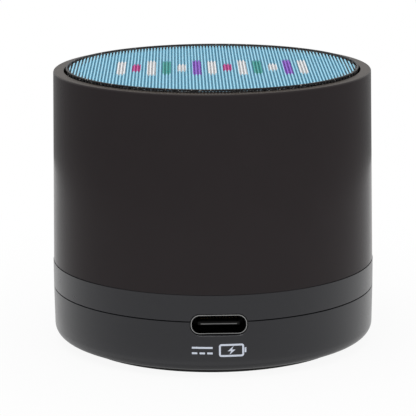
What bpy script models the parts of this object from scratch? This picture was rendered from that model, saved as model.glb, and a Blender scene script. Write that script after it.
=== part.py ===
"""A small cylindrical wireless speaker, modelled as the pieces that it comes apart into.

Metres, +Z up. The origin is the middle of the foot's underside, and the charging socket
faces -Y. Each piece is one object. What fits together takes its size and place from the
same named sizes and clearances.
"""
import math

import bmesh
import bpy
from mathutils import Matrix, Vector

MM = 0.001

# Clearances
SEAT_GAP = 0.06 * MM        # pieces screwed, glued or laid face to face
SLIP_GAP = 0.15 * MM        # pieces dropped inside one another
RUN_GAP = 0.2 * MM          # round a piece that moves
SEAM_GAP = 0.14 * MM        # open line between two outer mouldings
WELD = 0.3 * MM             # how deep a post runs into the plate that it is moulded on
MERGE = 0.001 * MM          # points closer than this are one

# Facets of a full circle
CASE_SIDES = 48
DRIVER_SIDES = 24
SMALL_SIDES = 12
ROUNDEST = 0.95             # share of a half side that a corner may take

# Foot
FOOT_REACH = 1.0 * MM       # stands below the cover
FOOT_RECESS = 0.6 * MM      # is sunk into the cover
FOOT_MARGIN = 1.4 * MM      # flat rim of the cover that shows outside the foot
FOOT_CHAMFER = 0.3 * MM

# Base mouldings
BASE_RADIUS = 26.8 * MM
BASE_WALL = 1.7 * MM
COVER_HEIGHT = 8.32 * MM    # underside to parting line
COVER_DRAFT = 0.2 * MM      # narrows by this much down to its fillet
COVER_FILLET = 1.9 * MM
FLOOR_THICKNESS = 1.4 * MM
LAP_HEIGHT = 1.2 * MM       # inner lip of the cover that stands inside the band
LAP_THICKNESS = 0.75 * MM
BAND_HEIGHT = 4.4 * MM      # parting line to the barrel
DECK_THICKNESS = 1.4 * MM
SPIGOT_HEIGHT = 4.0 * MM    # stands inside the barrel
SPIGOT_WALL = 1.5 * MM
BEAD_REACH = 0.35 * MM      # snap bead round the spigot
BEAD_HALF_HEIGHT = 0.5 * MM
BEAD_LEVEL = 2.4 * MM       # above the band

# Barrel
BARREL_HEIGHT = 31.78 * MM
BARREL_STEP = 0.08 * MM     # stands behind the face of the base
BARREL_DRAFT = 0.49 * MM    # narrows by this much up to its lip
BARREL_WALL = 1.78 * MM
LIP_ROUND = 0.45 * MM
BAFFLE_DROP = 5.3 * MM      # lip to the face that carries the driver
BAFFLE_THICKNESS = 1.6 * MM
BAFFLE_CLEARANCE = 0.5 * MM

# Grille
GRILLE_PROUD = 0.5 * MM     # stands above the lip
GRILLE_GROOVE = 0.25 * MM   # open groove between lip and grille
GRILLE_SHEET = 0.45 * MM
GRILLE_ROLL = 0.7 * MM      # outer radius of the rolled edge
GRILLE_SKIRT = 1.7 * MM     # top to the lower edge of the skirt
MESH_ACROSS = 8             # openings across the middle, as a coarse grid of the wire mesh
MESH_BAR = 0.8 * MM         # metal left between two openings
RING_WALL = 1.5 * MM
RING_FOOT_WIDTH = 3.75 * MM  # barrel's wall to the driver's flange

# Driver
FLANGE_WIDTH = 2.2 * MM
BASKET_SHEET = 0.7 * MM
BASKET_DEPTH = 8.4 * MM     # top of the flange to the underside of the floor
LEDGE_DEPTH = 5.9 * MM      # top of the flange to the spider's ledge
LEDGE_INSET = 3.6 * MM      # throat to the ledge's outer edge
LEDGE_WIDTH = 3.1 * MM
WINDOW_COUNT = 4
WINDOW_SPAN = 56.0          # degrees
WINDOW_MARGIN = 0.6 * MM    # frame left above and below each window
GASKET_THICKNESS = 0.6 * MM
GASKET_MARGIN = 0.3 * MM
POLE_RADIUS = 6.15 * MM
COIL_GAP = 0.22 * MM
FORMER_WALL = 0.2 * MM
FORMER_HEIGHT = 7.1 * MM
WINDING_WALL = 0.25 * MM
WINDING_HEIGHT = 3.0 * MM
TOP_PLATE_RADIUS = 11.0 * MM
TOP_PLATE_THICKNESS = 2.0 * MM
MAGNET_RADIUS = 15.0 * MM
MAGNET_BORE = 8.4 * MM
MAGNET_HEIGHT = 6.1 * MM
YOKE_RADIUS = 14.2 * MM
YOKE_THICKNESS = 2.2 * MM
SURROUND_ROLL = 1.4 * MM    # middle radius of the half roll
SURROUND_SHEET = 0.35 * MM
SURROUND_FOOT = 1.5 * MM    # flat glued to the flange
CONE_SHEET = 0.35 * MM
CONE_RIM = 1.2 * MM
CONE_NECK_DEPTH = 5.2 * MM  # rim to neck
DUST_CAP_RADIUS = 8.2 * MM
DUST_CAP_RISE = 2.1 * MM
DUST_CAP_SHEET = 0.3 * MM
SPIDER_SHEET = 0.3 * MM
SPIDER_WAVE = 0.4 * MM
SPIDER_WAVES = 3
SPIDER_FLAT = 1.2 * MM
TERMINAL_WIDTH = 7.0 * MM
TERMINAL_REACH = 2.7 * MM   # sticks out past the magnet
TERMINAL_THICKNESS = 0.8 * MM

# Circuit board and socket
BOARD_MARGIN = 2.0 * MM     # board edge to the base's inner wall
BOARD_THICKNESS = 1.2 * MM
PORT_DROP = 0.5 * MM        # middle of the socket below the parting line
SHELL_WIDTH = 8.94 * MM
SHELL_HEIGHT = 3.16 * MM
SHELL_CORNER = 1.45 * MM
SHELL_SHEET = 0.3 * MM
SHELL_LENGTH = 7.35 * MM
SHELL_SETBACK = 0.55 * MM   # mouth behind the base's outer face
TONGUE_WIDTH = 6.69 * MM
TONGUE_HEIGHT = 0.7 * MM
TONGUE_SETBACK = 0.7 * MM
INSULATOR_LENGTH = 2.6 * MM

# Screws
SCREW_INSET = 10.1 * MM     # base's inner wall to the screw's axis
SCREW_BEARINGS = (30.0, 150.0, 270.0)
SCREW_RADIUS = 1.0 * MM
SCREW_LENGTH = 8.0 * MM
HEAD_RADIUS = 1.8 * MM
HEAD_HEIGHT = 1.2 * MM
HEAD_SINK = 1.5 * MM        # seat of the head above the foot's recess
POST_WALL = 1.0 * MM        # round the counterbore
BOSS_WALL = 1.3 * MM        # round the pilot hole

# Keys and their switches
KEY_BEARING = 90.0
KEY_SPACING = 22.0
KEY_WIDTH = 6.4 * MM
KEY_HEIGHT = 3.4 * MM
KEY_CORNER = 1.2 * MM
KEY_CHAMFER = 0.25 * MM
KEY_PROUD = 0.4 * MM
KEY_TRAVEL = 0.35 * MM
KEY_FLANGE = 0.6 * MM       # wider than the key all round
KEY_FLANGE_THICKNESS = 0.7 * MM
KEY_NIB = 0.6 * MM
KEY_NIB_WIDTH = 2.0 * MM
KEY_NIB_HEIGHT = 1.2 * MM
TACT_WIDTH = 6.0 * MM
TACT_DEPTH = 3.5 * MM
TACT_HEIGHT = 3.5 * MM
PLUNGER_WIDTH = 2.8 * MM
PLUNGER_HEIGHT = 1.6 * MM
PLUNGER_REACH = 1.2 * MM
PLUNGER_ROOT = 0.6 * MM

# On/off slide switch
SWITCH_BEARING = 148.0
SWITCH_TRAVEL = 2.0 * MM
KNOB_WIDTH = 3.0 * MM
KNOB_HEIGHT = 2.2 * MM
KNOB_CORNER = 0.5 * MM
KNOB_PROUD = 0.7 * MM
KNOB_CHAMFER = 0.2 * MM
KNOB_FLANGE = 0.5 * MM      # laps past the slot
KNOB_FLANGE_THICKNESS = 1.2 * MM
LEVER_WIDTH = 1.4 * MM
LEVER_HEIGHT = 1.2 * MM
LEVER_GRIP = 0.7 * MM       # stands inside the knob
LEVER_REACH = 1.2 * MM
LEVER_ROOT = 0.7 * MM
SLIDE_WIDTH = 8.6 * MM
SLIDE_DEPTH = 3.6 * MM
SLIDE_HEIGHT = 3.4 * MM

# Status light and microphone
LENS_BEARING = 44.0
LENS_RADIUS = 0.8 * MM
LENS_COLLAR = 0.5 * MM
LENS_LENGTH = 4.0 * MM
LENS_LEVEL = 1.5 * MM       # above the board
LED_WIDTH = 2.0 * MM
LED_DEPTH = 1.2 * MM
LED_HEIGHT = 2.4 * MM
MICROPHONE_BEARING = 24.0
MICROPHONE_RADIUS = 1.4 * MM
MICROPHONE_DEPTH = 1.8 * MM
MICROPHONE_INSET = 0.8 * MM  # behind the base's inner wall
PINHOLE_RADIUS = 0.5 * MM

# Parts laid on the board: width, depth, height and place
CHIP_CORNER = 0.1 * MM
BLUETOOTH_SIZE = (6.0 * MM, 6.0 * MM, 0.9 * MM)
BLUETOOTH_PLACE = (-7.0 * MM, -3.0 * MM)
AMPLIFIER_SIZE = (5.0 * MM, 4.0 * MM, 1.6 * MM)
AMPLIFIER_PLACE = (9.0 * MM, -9.0 * MM)
CRYSTAL_SIZE = (3.2 * MM, 2.5 * MM, 0.8 * MM)
CRYSTAL_PLACE = (-6.5 * MM, 3.4 * MM)
INDUCTOR_SIZE = (4.0 * MM, 4.0 * MM, 2.0 * MM)
INDUCTOR_PLACE = (8.0 * MM, 0.0 * MM)
CAPACITOR_RADIUS = 2.5 * MM
CAPACITOR_HEIGHT = 4.0 * MM
CAPACITOR_PLACE = (-11.0 * MM, -12.0 * MM)

# Battery and leads
CELL_SIZE = (30.0 * MM, 20.0 * MM, 5.0 * MM)
CELL_CORNER = 1.6 * MM
TAPE_SIZE = (24.0 * MM, 14.0 * MM, 0.5 * MM)
LEAD_RADIUS = 0.5 * MM
LEAD_HALF_SPACING = 0.95 * MM
LEAD_HOLE_CLEARANCE = 0.7 * MM
CELL_LEAD_OFFSET = 3.4 * MM  # hole in the deck past the end of the cell
DRIVER_LEAD_INSET = 8.8 * MM  # base's inner wall to the hole in the deck
LEAD_BEND = 1.2 * MM
LEAD_BOW = 0.8 * MM          # how far the driver's leads stand off the magnet's side

# Levels, worked out from the floor up
COVER_UNDERSIDE = FOOT_REACH
FOOT_SEAT = FOOT_REACH + FOOT_RECESS
FLOOR_TOP = FOOT_SEAT + FLOOR_THICKNESS
PARTING = FOOT_REACH + COVER_HEIGHT
BAND_TOP = PARTING + BAND_HEIGHT
DECK_TOP = BAND_TOP - SEAM_GAP / 2
DECK_UNDERSIDE = DECK_TOP - DECK_THICKNESS
BARREL_BOTTOM = BAND_TOP + SEAM_GAP / 2
LIP_TOP = BAND_TOP + BARREL_HEIGHT
GRILLE_TOP = LIP_TOP + GRILLE_PROUD
BAFFLE_TOP = LIP_TOP - BAFFLE_DROP
FLANGE_UNDERSIDE = BAFFLE_TOP + GASKET_THICKNESS + 2 * SEAT_GAP
FLANGE_TOP = FLANGE_UNDERSIDE + BASKET_SHEET
LEDGE_TOP = FLANGE_TOP - LEDGE_DEPTH
BASKET_UNDERSIDE = FLANGE_TOP - BASKET_DEPTH
TOP_PLATE_TOP = BASKET_UNDERSIDE - SEAT_GAP
MAGNET_TOP = TOP_PLATE_TOP - TOP_PLATE_THICKNESS - SEAT_GAP
YOKE_TOP = MAGNET_TOP - MAGNET_HEIGHT - SEAT_GAP
PORT_LEVEL = PARTING - PORT_DROP
BOARD_TOP = PORT_LEVEL - SHELL_HEIGHT / 2 - SEAT_GAP
BOARD_UNDERSIDE = BOARD_TOP - BOARD_THICKNESS
PARTS_LEVEL = BOARD_TOP + SEAT_GAP
KEY_LEVEL = PARTS_LEVEL + TACT_HEIGHT / 2
KNOB_LEVEL = PARTS_LEVEL + SLIDE_HEIGHT / 2
SCREW_SEAT = FOOT_SEAT + HEAD_SINK

# Radii, worked out from the casing inwards
BASE_INNER = BASE_RADIUS - BASE_WALL
FOOT_RADIUS = BASE_RADIUS - COVER_DRAFT - COVER_FILLET - FOOT_MARGIN
SCREW_CIRCLE = BASE_INNER - SCREW_INSET
DRIVER_LEAD_DISTANCE = BASE_INNER - DRIVER_LEAD_INSET
BARREL_BOTTOM_RADIUS = BASE_RADIUS - BARREL_STEP
BARREL_TOP_RADIUS = BARREL_BOTTOM_RADIUS - BARREL_DRAFT
LIP_INNER = BARREL_TOP_RADIUS - BARREL_WALL
GRILLE_RADIUS = LIP_INNER - GRILLE_GROOVE
RING_FOOT = LIP_INNER - SLIP_GAP
RING_BORE = RING_FOOT - RING_FOOT_WIDTH
DRIVER_RADIUS = RING_BORE - SLIP_GAP
THROAT = DRIVER_RADIUS - FLANGE_WIDTH
LEDGE_RADIUS = THROAT - LEDGE_INSET
BAFFLE_RADIUS = THROAT + BAFFLE_CLEARANCE
CONE_RADIUS = THROAT - 2 * SURROUND_ROLL
FORMER_INNER = POLE_RADIUS + COIL_GAP
FORMER_OUTER = FORMER_INNER + FORMER_WALL
WINDING_INNER = FORMER_OUTER + SEAT_GAP
WINDING_OUTER = WINDING_INNER + WINDING_WALL
PLATE_BORE = WINDING_OUTER + COIL_GAP
BOARD_RADIUS = BASE_INNER - BOARD_MARGIN


def barrel_outer(level):
    """Outer radius of the drafted barrel at a level."""
    share = (level - BAND_TOP) / BARREL_HEIGHT
    return BARREL_BOTTOM_RADIUS + (BARREL_TOP_RADIUS - BARREL_BOTTOM_RADIUS) * share


def barrel_inner(level):
    """Inner radius of the barrel, whose wall is even."""
    return barrel_outer(level) - BARREL_WALL


def arc(middle, radius, start, end, steps):
    """Points on an arc in a profile, from one angle in degrees to another."""
    points = []
    for step in range(steps + 1):
        angle = math.radians(start + (end - start) * step / steps)
        points.append((middle[0] + radius * math.cos(angle), middle[1] + radius * math.sin(angle)))
    return points


def turned(profile, sides):
    """Spin a profile of (radius, level) points round Z into a closed body."""
    body = bmesh.new()
    points = [body.verts.new((radius, 0, level)) for radius, level in profile]
    edges = [body.edges.new(pair) for pair in zip(points, points[1:])]
    if profile[0][0] > 0 or profile[-1][0] > 0:
        edges.append(body.edges.new((points[-1], points[0])))
    bmesh.ops.spin(
        body, geom=points + edges, cent=(0, 0, 0), axis=(0, 0, 1),
        angle=math.tau, steps=sides, use_merge=True,
    )
    bmesh.ops.remove_doubles(body, verts=body.verts, dist=MERGE)
    flat_poles = []
    for vertex in body.verts:
        steps = [edge.other_vert(vertex).co.z - vertex.co.z for edge in vertex.link_edges]
        if vertex.co.xy.length < MERGE and max(map(abs, steps)) < MERGE:
            flat_poles.append(vertex)
    bmesh.ops.dissolve_verts(body, verts=flat_poles)
    bmesh.ops.recalc_face_normals(body, faces=body.faces)
    return body


def rounded(width, height, corner, grow=0.0, steps=3):
    """Columns (place, half height) of a rounded rectangle, grown all round by a margin."""
    half_width = width / 2 + grow
    half_height = height / 2 + grow
    radius = min(corner + grow, half_height * ROUNDEST, half_width * ROUNDEST)
    left = []
    for step in range(steps + 1):
        angle = math.radians(90 * step / steps)
        place = half_width - radius * (1 - math.cos(angle))
        left.append((-place, half_height - radius * (1 - math.sin(angle))))
    right = [(-place, half) for place, half in reversed(left)]
    return left + [(0.0, half_height)] + right


def lofted(sections):
    """Join sections along X into one closed body.

    A section is (columns, distance, bowed). A bowed one follows a circle of that radius
    round Z, and any other is flat. The first and last are closed with strips.
    """
    body = bmesh.new()
    rings = []
    for columns, distance, bowed in sections:
        upper = []
        lower = []
        for place, half in columns:
            depth = math.sqrt(distance ** 2 - place ** 2) if bowed else distance
            upper.append(body.verts.new((depth, place, half)))
            lower.append(body.verts.new((depth, place, -half)))
        rings.append((upper, lower))
    for (upper, lower), (next_upper, next_lower) in zip(rings, rings[1:]):
        around = upper + lower[::-1]
        next_around = next_upper + next_lower[::-1]
        for step in range(len(around)):
            after = (step + 1) % len(around)
            body.faces.new((around[step], around[after], next_around[after], next_around[step]))
    for upper, lower in (rings[0], rings[-1]):
        for step in range(len(upper) - 1):
            body.faces.new((upper[step], upper[step + 1], lower[step + 1], lower[step]))
    bmesh.ops.recalc_face_normals(body, faces=body.faces)
    return body


def rod(radius, start, end):
    """Round bar along X."""
    body = turned([(0, start), (radius, start), (radius, end), (0, end)], SMALL_SIDES)
    bmesh.ops.rotate(body, verts=body.verts, cent=(0, 0, 0), matrix=Matrix.Rotation(math.pi / 2, 3, 'Y'))
    return body


def block(size, corner, level):
    """Rounded block standing on a level, with its width along X and depth along Y."""
    columns = rounded(size[0], size[1], corner, steps=1)
    body = lofted([(columns, level, False), (columns, level + size[2], False)])
    turn = Matrix(((0, 1, 0), (0, 0, 1), (1, 0, 0)))
    bmesh.ops.rotate(body, verts=body.verts, cent=(0, 0, 0), matrix=turn)
    bmesh.ops.recalc_face_normals(body, faces=body.faces)
    return body


def moved(body, bearing=0.0, place=(0, 0, 0)):
    """Move a body, then swing it round Z to its bearing in degrees."""
    bmesh.ops.translate(body, verts=body.verts, vec=Vector(place))
    swing = Matrix.Rotation(math.radians(bearing), 3, 'Z')
    bmesh.ops.rotate(body, verts=body.verts, cent=(0, 0, 0), matrix=swing)
    return body


def together(bodies):
    """Put several bodies into one mesh."""
    whole = bmesh.new()
    for body in bodies:
        mesh = bpy.data.meshes.new("body")
        body.to_mesh(mesh)
        whole.from_mesh(mesh)
        bpy.data.meshes.remove(mesh)
        body.free()
    return whole


def material(name, colour, roughness, metallic):
    """Principled material of one finish."""
    finish = bpy.data.materials.new(name)
    finish.use_nodes = True
    shader = finish.node_tree.nodes["Principled BSDF"]
    shader.inputs["Base Color"].default_value = (*colour, 1.0)
    shader.inputs["Roughness"].default_value = roughness
    shader.inputs["Metallic"].default_value = metallic
    return finish


def piece(name, body, colour, roughness=0.5, metallic=0.0, parent=None, place=(0, 0, 0)):
    """Make one named object from a body, with a material of its own."""
    mesh = bpy.data.meshes.new(name)
    body.to_mesh(mesh)
    body.free()
    mesh.shade_smooth()
    mesh.set_sharp_from_angle(angle=math.radians(35))
    mesh.materials.append(material(name, colour, roughness, metallic))
    made = bpy.data.objects.new(name, mesh)
    made.location = place
    made.parent = parent
    bpy.context.scene.collection.objects.link(made)
    return made


def helper(name, body):
    """Hidden body that cuts another or is fused with it."""
    mesh = bpy.data.meshes.new(name)
    body.to_mesh(mesh)
    body.free()
    made = bpy.data.objects.new(name, mesh)
    made.hide_render = True
    made.display_type = 'WIRE'
    made.parent = speaker
    bpy.context.scene.collection.objects.link(made)
    return made


def combine(target, tool, operation):
    """Cut a helper out of a piece, or fuse it with the piece."""
    step = target.modifiers.new(tool.name, 'BOOLEAN')
    step.operation = operation
    step.solver = 'EXACT'
    step.object = tool


def holder(name, bearing, level):
    """Empty on the axis at a level, turned so that its X points out at a bearing."""
    empty = bpy.data.objects.new(name, None)
    empty.location = (0, 0, level)
    empty.rotation_euler = (0, 0, math.radians(bearing))
    empty.parent = speaker
    bpy.context.scene.collection.objects.link(empty)
    return empty


def smooth_route(route, steps=4):
    """Points on a smooth curve through the points of a route."""
    points = [Vector(point) for point in route]
    ends = [2 * points[0] - points[1]] + points + [2 * points[-1] - points[-2]]
    path = []
    for before, start, end, after in zip(ends, ends[1:], ends[2:], ends[3:]):
        for step in range(steps):
            t = step / steps
            path.append(0.5 * (
                2 * start + (end - before) * t
                + (2 * before - 5 * start + 4 * end - after) * t ** 2
                + (3 * start - before - 3 * end + after) * t ** 3
            ))
    return path + [points[-1]]


def lead(name, route, colour):
    """Insulated wire along a route, as a bevelled curve with closed ends."""
    curve = bpy.data.curves.new(name, 'CURVE')
    curve.dimensions = '3D'
    curve.bevel_depth = LEAD_RADIUS
    curve.bevel_resolution = 2
    curve.use_fill_caps = True
    path = smooth_route(route)
    spline = curve.splines.new('POLY')
    spline.points.add(len(path) - 1)
    for point, place in zip(spline.points, path):
        point.co = (*place, 1.0)
    curve.materials.append(material(name, colour, 0.45, 0.0))
    made = bpy.data.objects.new(name, curve)
    made.parent = speaker
    bpy.context.scene.collection.objects.link(made)


# Empty scene and the empty that carries the speaker
for old in list(bpy.data.objects):
    bpy.data.objects.remove(old)
speaker = bpy.data.objects.new("speaker", None)
bpy.context.scene.collection.objects.link(speaker)

# Colours of the casing
BARREL_COLOUR = (0.024, 0.020, 0.020)
BASE_COLOUR = (0.046, 0.046, 0.049)
BLACK = (0.012, 0.012, 0.012)
STEEL = (0.62, 0.62, 0.60)

# Rubber foot, glued into the recess of the cover
FOOT_TOP = FOOT_SEAT - SEAT_GAP
piece("foot_pad", turned([
    (0, 0),
    (FOOT_RADIUS - FOOT_CHAMFER, 0),
    (FOOT_RADIUS, FOOT_CHAMFER),
    (FOOT_RADIUS, FOOT_TOP),
    (0, FOOT_TOP),
], CASE_SIDES), BLACK, 0.85, parent=speaker)

# Openings in the wall of the base, which both mouldings share along their parting line
key_bearings = {
    "key_previous": KEY_BEARING - KEY_SPACING,
    "key_play": KEY_BEARING,
    "key_next": KEY_BEARING + KEY_SPACING,
}
PORT_BEARING = -90.0
CUT_INNER = BASE_INNER - BOARD_MARGIN / 2
CUT_OUTER = BASE_RADIUS + KEY_PROUD
SLOT_WIDTH = KNOB_WIDTH + SWITCH_TRAVEL
LENS_HEIGHT = BOARD_TOP + LENS_LEVEL
MICROPHONE_LEVEL = PARTS_LEVEL + MICROPHONE_RADIUS


def wall_cut(columns, bearing, level):
    """Cutter for one opening, through the wall at a bearing."""
    body = lofted([(columns, CUT_INNER, False), (columns, CUT_OUTER, False)])
    return moved(body, bearing, (0, 0, level))


openings = [wall_cut(rounded(SHELL_WIDTH, SHELL_HEIGHT, SHELL_CORNER, SLIP_GAP), PORT_BEARING, PORT_LEVEL)]
for bearing in key_bearings.values():
    openings.append(wall_cut(rounded(KEY_WIDTH, KEY_HEIGHT, KEY_CORNER, RUN_GAP), bearing, KEY_LEVEL))
openings.append(wall_cut(rounded(SLOT_WIDTH, KNOB_HEIGHT, KNOB_CORNER, RUN_GAP), SWITCH_BEARING, KNOB_LEVEL))
openings.append(moved(rod(LENS_RADIUS + SLIP_GAP, CUT_INNER, CUT_OUTER), LENS_BEARING, (0, 0, LENS_HEIGHT)))
openings.append(moved(
    rod(PINHOLE_RADIUS, CUT_INNER, CUT_OUTER), MICROPHONE_BEARING, (0, 0, MICROPHONE_LEVEL)
))
wall_openings = helper("wall_openings", together(openings))

# Lower moulding of the base: a cup with a filleted edge, a lap joint and three screw posts
COVER_FOOT_RADIUS = BASE_RADIUS - COVER_DRAFT
LAP_OUTER = BASE_INNER + LAP_THICKNESS
COVER_TOP = PARTING - SEAM_GAP / 2
bottom_cover = piece("bottom_cover", turned(
    [
        (0, FOOT_SEAT),
        (FOOT_RADIUS + SLIP_GAP, FOOT_SEAT),
        (FOOT_RADIUS + SLIP_GAP, COVER_UNDERSIDE),
    ]
    + arc((COVER_FOOT_RADIUS - COVER_FILLET, COVER_UNDERSIDE + COVER_FILLET), COVER_FILLET, -90, 0, 5)
    + [
        (BASE_RADIUS, COVER_TOP),
        (LAP_OUTER, COVER_TOP),
        (LAP_OUTER, PARTING + LAP_HEIGHT),
        (BASE_INNER, PARTING + LAP_HEIGHT),
        (BASE_INNER, FLOOR_TOP),
        (0, FLOOR_TOP),
    ],
    CASE_SIDES,
), BASE_COLOUR, 0.45, parent=speaker)

COUNTERBORE = HEAD_RADIUS + SLIP_GAP
POST_RADIUS = COUNTERBORE + POST_WALL
POST_TOP = BOARD_UNDERSIDE - SEAT_GAP
HOLE_RADIUS = SCREW_RADIUS + SLIP_GAP
posts = []
post_holes = []
for bearing in SCREW_BEARINGS:
    posts.append(moved(turned([
        (0, FOOT_SEAT + WELD),
        (POST_RADIUS, FOOT_SEAT + WELD),
        (POST_RADIUS, POST_TOP),
        (0, POST_TOP),
    ], SMALL_SIDES), bearing, (SCREW_CIRCLE, 0, 0)))
    post_holes.append(moved(turned([
        (0, FOOT_SEAT - WELD),
        (COUNTERBORE, FOOT_SEAT - WELD),
        (COUNTERBORE, SCREW_SEAT),
        (HOLE_RADIUS, SCREW_SEAT),
        (HOLE_RADIUS, POST_TOP + WELD),
        (0, POST_TOP + WELD),
    ], SMALL_SIDES), bearing, (SCREW_CIRCLE, 0, 0)))
combine(bottom_cover, helper("cover_posts", together(posts)), 'UNION')
combine(bottom_cover, helper("cover_post_holes", together(post_holes)), 'DIFFERENCE')
combine(bottom_cover, wall_openings, 'DIFFERENCE')

# Upper moulding of the base: the band that shows, a deck, a spigot with a snap bead, three bosses
BAND_BOTTOM = PARTING + SEAM_GAP / 2
REBATE_TOP = PARTING + LAP_HEIGHT + SLIP_GAP
REBATE_RADIUS = LAP_OUTER + SLIP_GAP
SPIGOT_TOP = BAND_TOP + SPIGOT_HEIGHT
BEAD_MIDDLE = BAND_TOP + BEAD_LEVEL


def spigot_outer(level):
    """Outer radius of the spigot, which slips into the drafted barrel."""
    return barrel_inner(level) - SLIP_GAP


SPIGOT_INNER = spigot_outer(SPIGOT_TOP) - SPIGOT_WALL
base_ring = piece("base_ring", turned([
    (0, DECK_UNDERSIDE),
    (BASE_INNER, DECK_UNDERSIDE),
    (BASE_INNER, REBATE_TOP),
    (REBATE_RADIUS, REBATE_TOP),
    (REBATE_RADIUS, BAND_BOTTOM),
    (BASE_RADIUS, BAND_BOTTOM),
    (BASE_RADIUS, DECK_TOP),
    (spigot_outer(DECK_TOP), DECK_TOP),
    (spigot_outer(BEAD_MIDDLE - BEAD_HALF_HEIGHT), BEAD_MIDDLE - BEAD_HALF_HEIGHT),
    (spigot_outer(BEAD_MIDDLE) + BEAD_REACH, BEAD_MIDDLE),
    (spigot_outer(BEAD_MIDDLE + BEAD_HALF_HEIGHT), BEAD_MIDDLE + BEAD_HALF_HEIGHT),
    (spigot_outer(SPIGOT_TOP), SPIGOT_TOP),
    (SPIGOT_INNER, SPIGOT_TOP),
    (SPIGOT_INNER, DECK_TOP),
    (0, DECK_TOP),
], CASE_SIDES), BASE_COLOUR, 0.45, parent=speaker)

PILOT_RADIUS = SCREW_RADIUS + SEAT_GAP
BOSS_RADIUS = PILOT_RADIUS + BOSS_WALL
BOSS_BOTTOM = BOARD_TOP + SEAT_GAP
SCREW_TOP = SCREW_SEAT - SEAT_GAP + SCREW_LENGTH
bosses = []
pilots = []
for bearing in SCREW_BEARINGS:
    bosses.append(moved(turned([
        (0, BOSS_BOTTOM),
        (BOSS_RADIUS, BOSS_BOTTOM),
        (BOSS_RADIUS, DECK_UNDERSIDE + WELD),
        (0, DECK_UNDERSIDE + WELD),
    ], SMALL_SIDES), bearing, (SCREW_CIRCLE, 0, 0)))
    pilots.append(moved(turned([
        (0, BOSS_BOTTOM - WELD),
        (PILOT_RADIUS, BOSS_BOTTOM - WELD),
        (PILOT_RADIUS, SCREW_TOP + SLIP_GAP),
        (0, SCREW_TOP + SLIP_GAP),
    ], SMALL_SIDES), bearing, (SCREW_CIRCLE, 0, 0)))

CELL_LEAD_PLACE = CELL_SIZE[0] / 2 + CELL_LEAD_OFFSET
LEAD_HOLE = LEAD_HALF_SPACING + LEAD_RADIUS + LEAD_HOLE_CLEARANCE
for place in ((CELL_LEAD_PLACE, 0, 0), (0, DRIVER_LEAD_DISTANCE, 0)):
    pilots.append(moved(turned([
        (0, DECK_UNDERSIDE - WELD),
        (LEAD_HOLE, DECK_UNDERSIDE - WELD),
        (LEAD_HOLE, DECK_TOP + WELD),
        (0, DECK_TOP + WELD),
    ], SMALL_SIDES), 0.0, place))
combine(base_ring, helper("deck_bosses", together(bosses)), 'UNION')
combine(base_ring, helper("deck_holes", together(pilots)), 'DIFFERENCE')
combine(base_ring, wall_openings, 'DIFFERENCE')

# Barrel: drafted tube with a rounded lip, a baffle that carries the driver and a snap groove
BAFFLE_UNDERSIDE = BAFFLE_TOP - BAFFLE_THICKNESS
GROOVE_HALF_HEIGHT = BEAD_HALF_HEIGHT + SLIP_GAP
ROUND_MIDDLE = (barrel_outer(LIP_TOP) - LIP_ROUND, LIP_TOP - LIP_ROUND)
piece("barrel", turned(
    [
        (barrel_inner(BARREL_BOTTOM), BARREL_BOTTOM),
        (barrel_outer(BARREL_BOTTOM), BARREL_BOTTOM),
    ]
    + arc(ROUND_MIDDLE, LIP_ROUND, 0, 90, 3)
    + [
        (LIP_INNER, LIP_TOP),
        (barrel_inner(BAFFLE_TOP), BAFFLE_TOP),
        (BAFFLE_RADIUS, BAFFLE_TOP),
        (BAFFLE_RADIUS, BAFFLE_UNDERSIDE),
        (barrel_inner(BAFFLE_UNDERSIDE), BAFFLE_UNDERSIDE),
        (barrel_inner(BEAD_MIDDLE + GROOVE_HALF_HEIGHT), BEAD_MIDDLE + GROOVE_HALF_HEIGHT),
        (barrel_inner(BEAD_MIDDLE) + BEAD_REACH, BEAD_MIDDLE),
        (barrel_inner(BEAD_MIDDLE - GROOVE_HALF_HEIGHT), BEAD_MIDDLE - GROOVE_HALF_HEIGHT),
    ],
    CASE_SIDES,
), BARREL_COLOUR, 0.4, parent=speaker)

# Grille: mesh cap with a rolled edge, pressed over a plastic ring that stands on the baffle
GRILLE_UNDERSIDE = GRILLE_TOP - GRILLE_SHEET
SKIRT_BOTTOM = GRILLE_TOP - GRILLE_SKIRT
ROLL_MIDDLE = (GRILLE_RADIUS - GRILLE_ROLL, GRILLE_TOP - GRILLE_ROLL)
grille = piece("grille", turned(
    [(0, GRILLE_UNDERSIDE)]
    + arc(ROLL_MIDDLE, GRILLE_ROLL - GRILLE_SHEET, 90, 0, 1)
    + [(GRILLE_RADIUS - GRILLE_SHEET, SKIRT_BOTTOM), (GRILLE_RADIUS, SKIRT_BOTTOM)]
    + arc(ROLL_MIDDLE, GRILLE_ROLL, 0, 90, 3)
    + [(0, GRILLE_TOP)],
    CASE_SIDES,
), (0.13, 0.42, 0.62), 0.5, parent=speaker)

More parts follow.
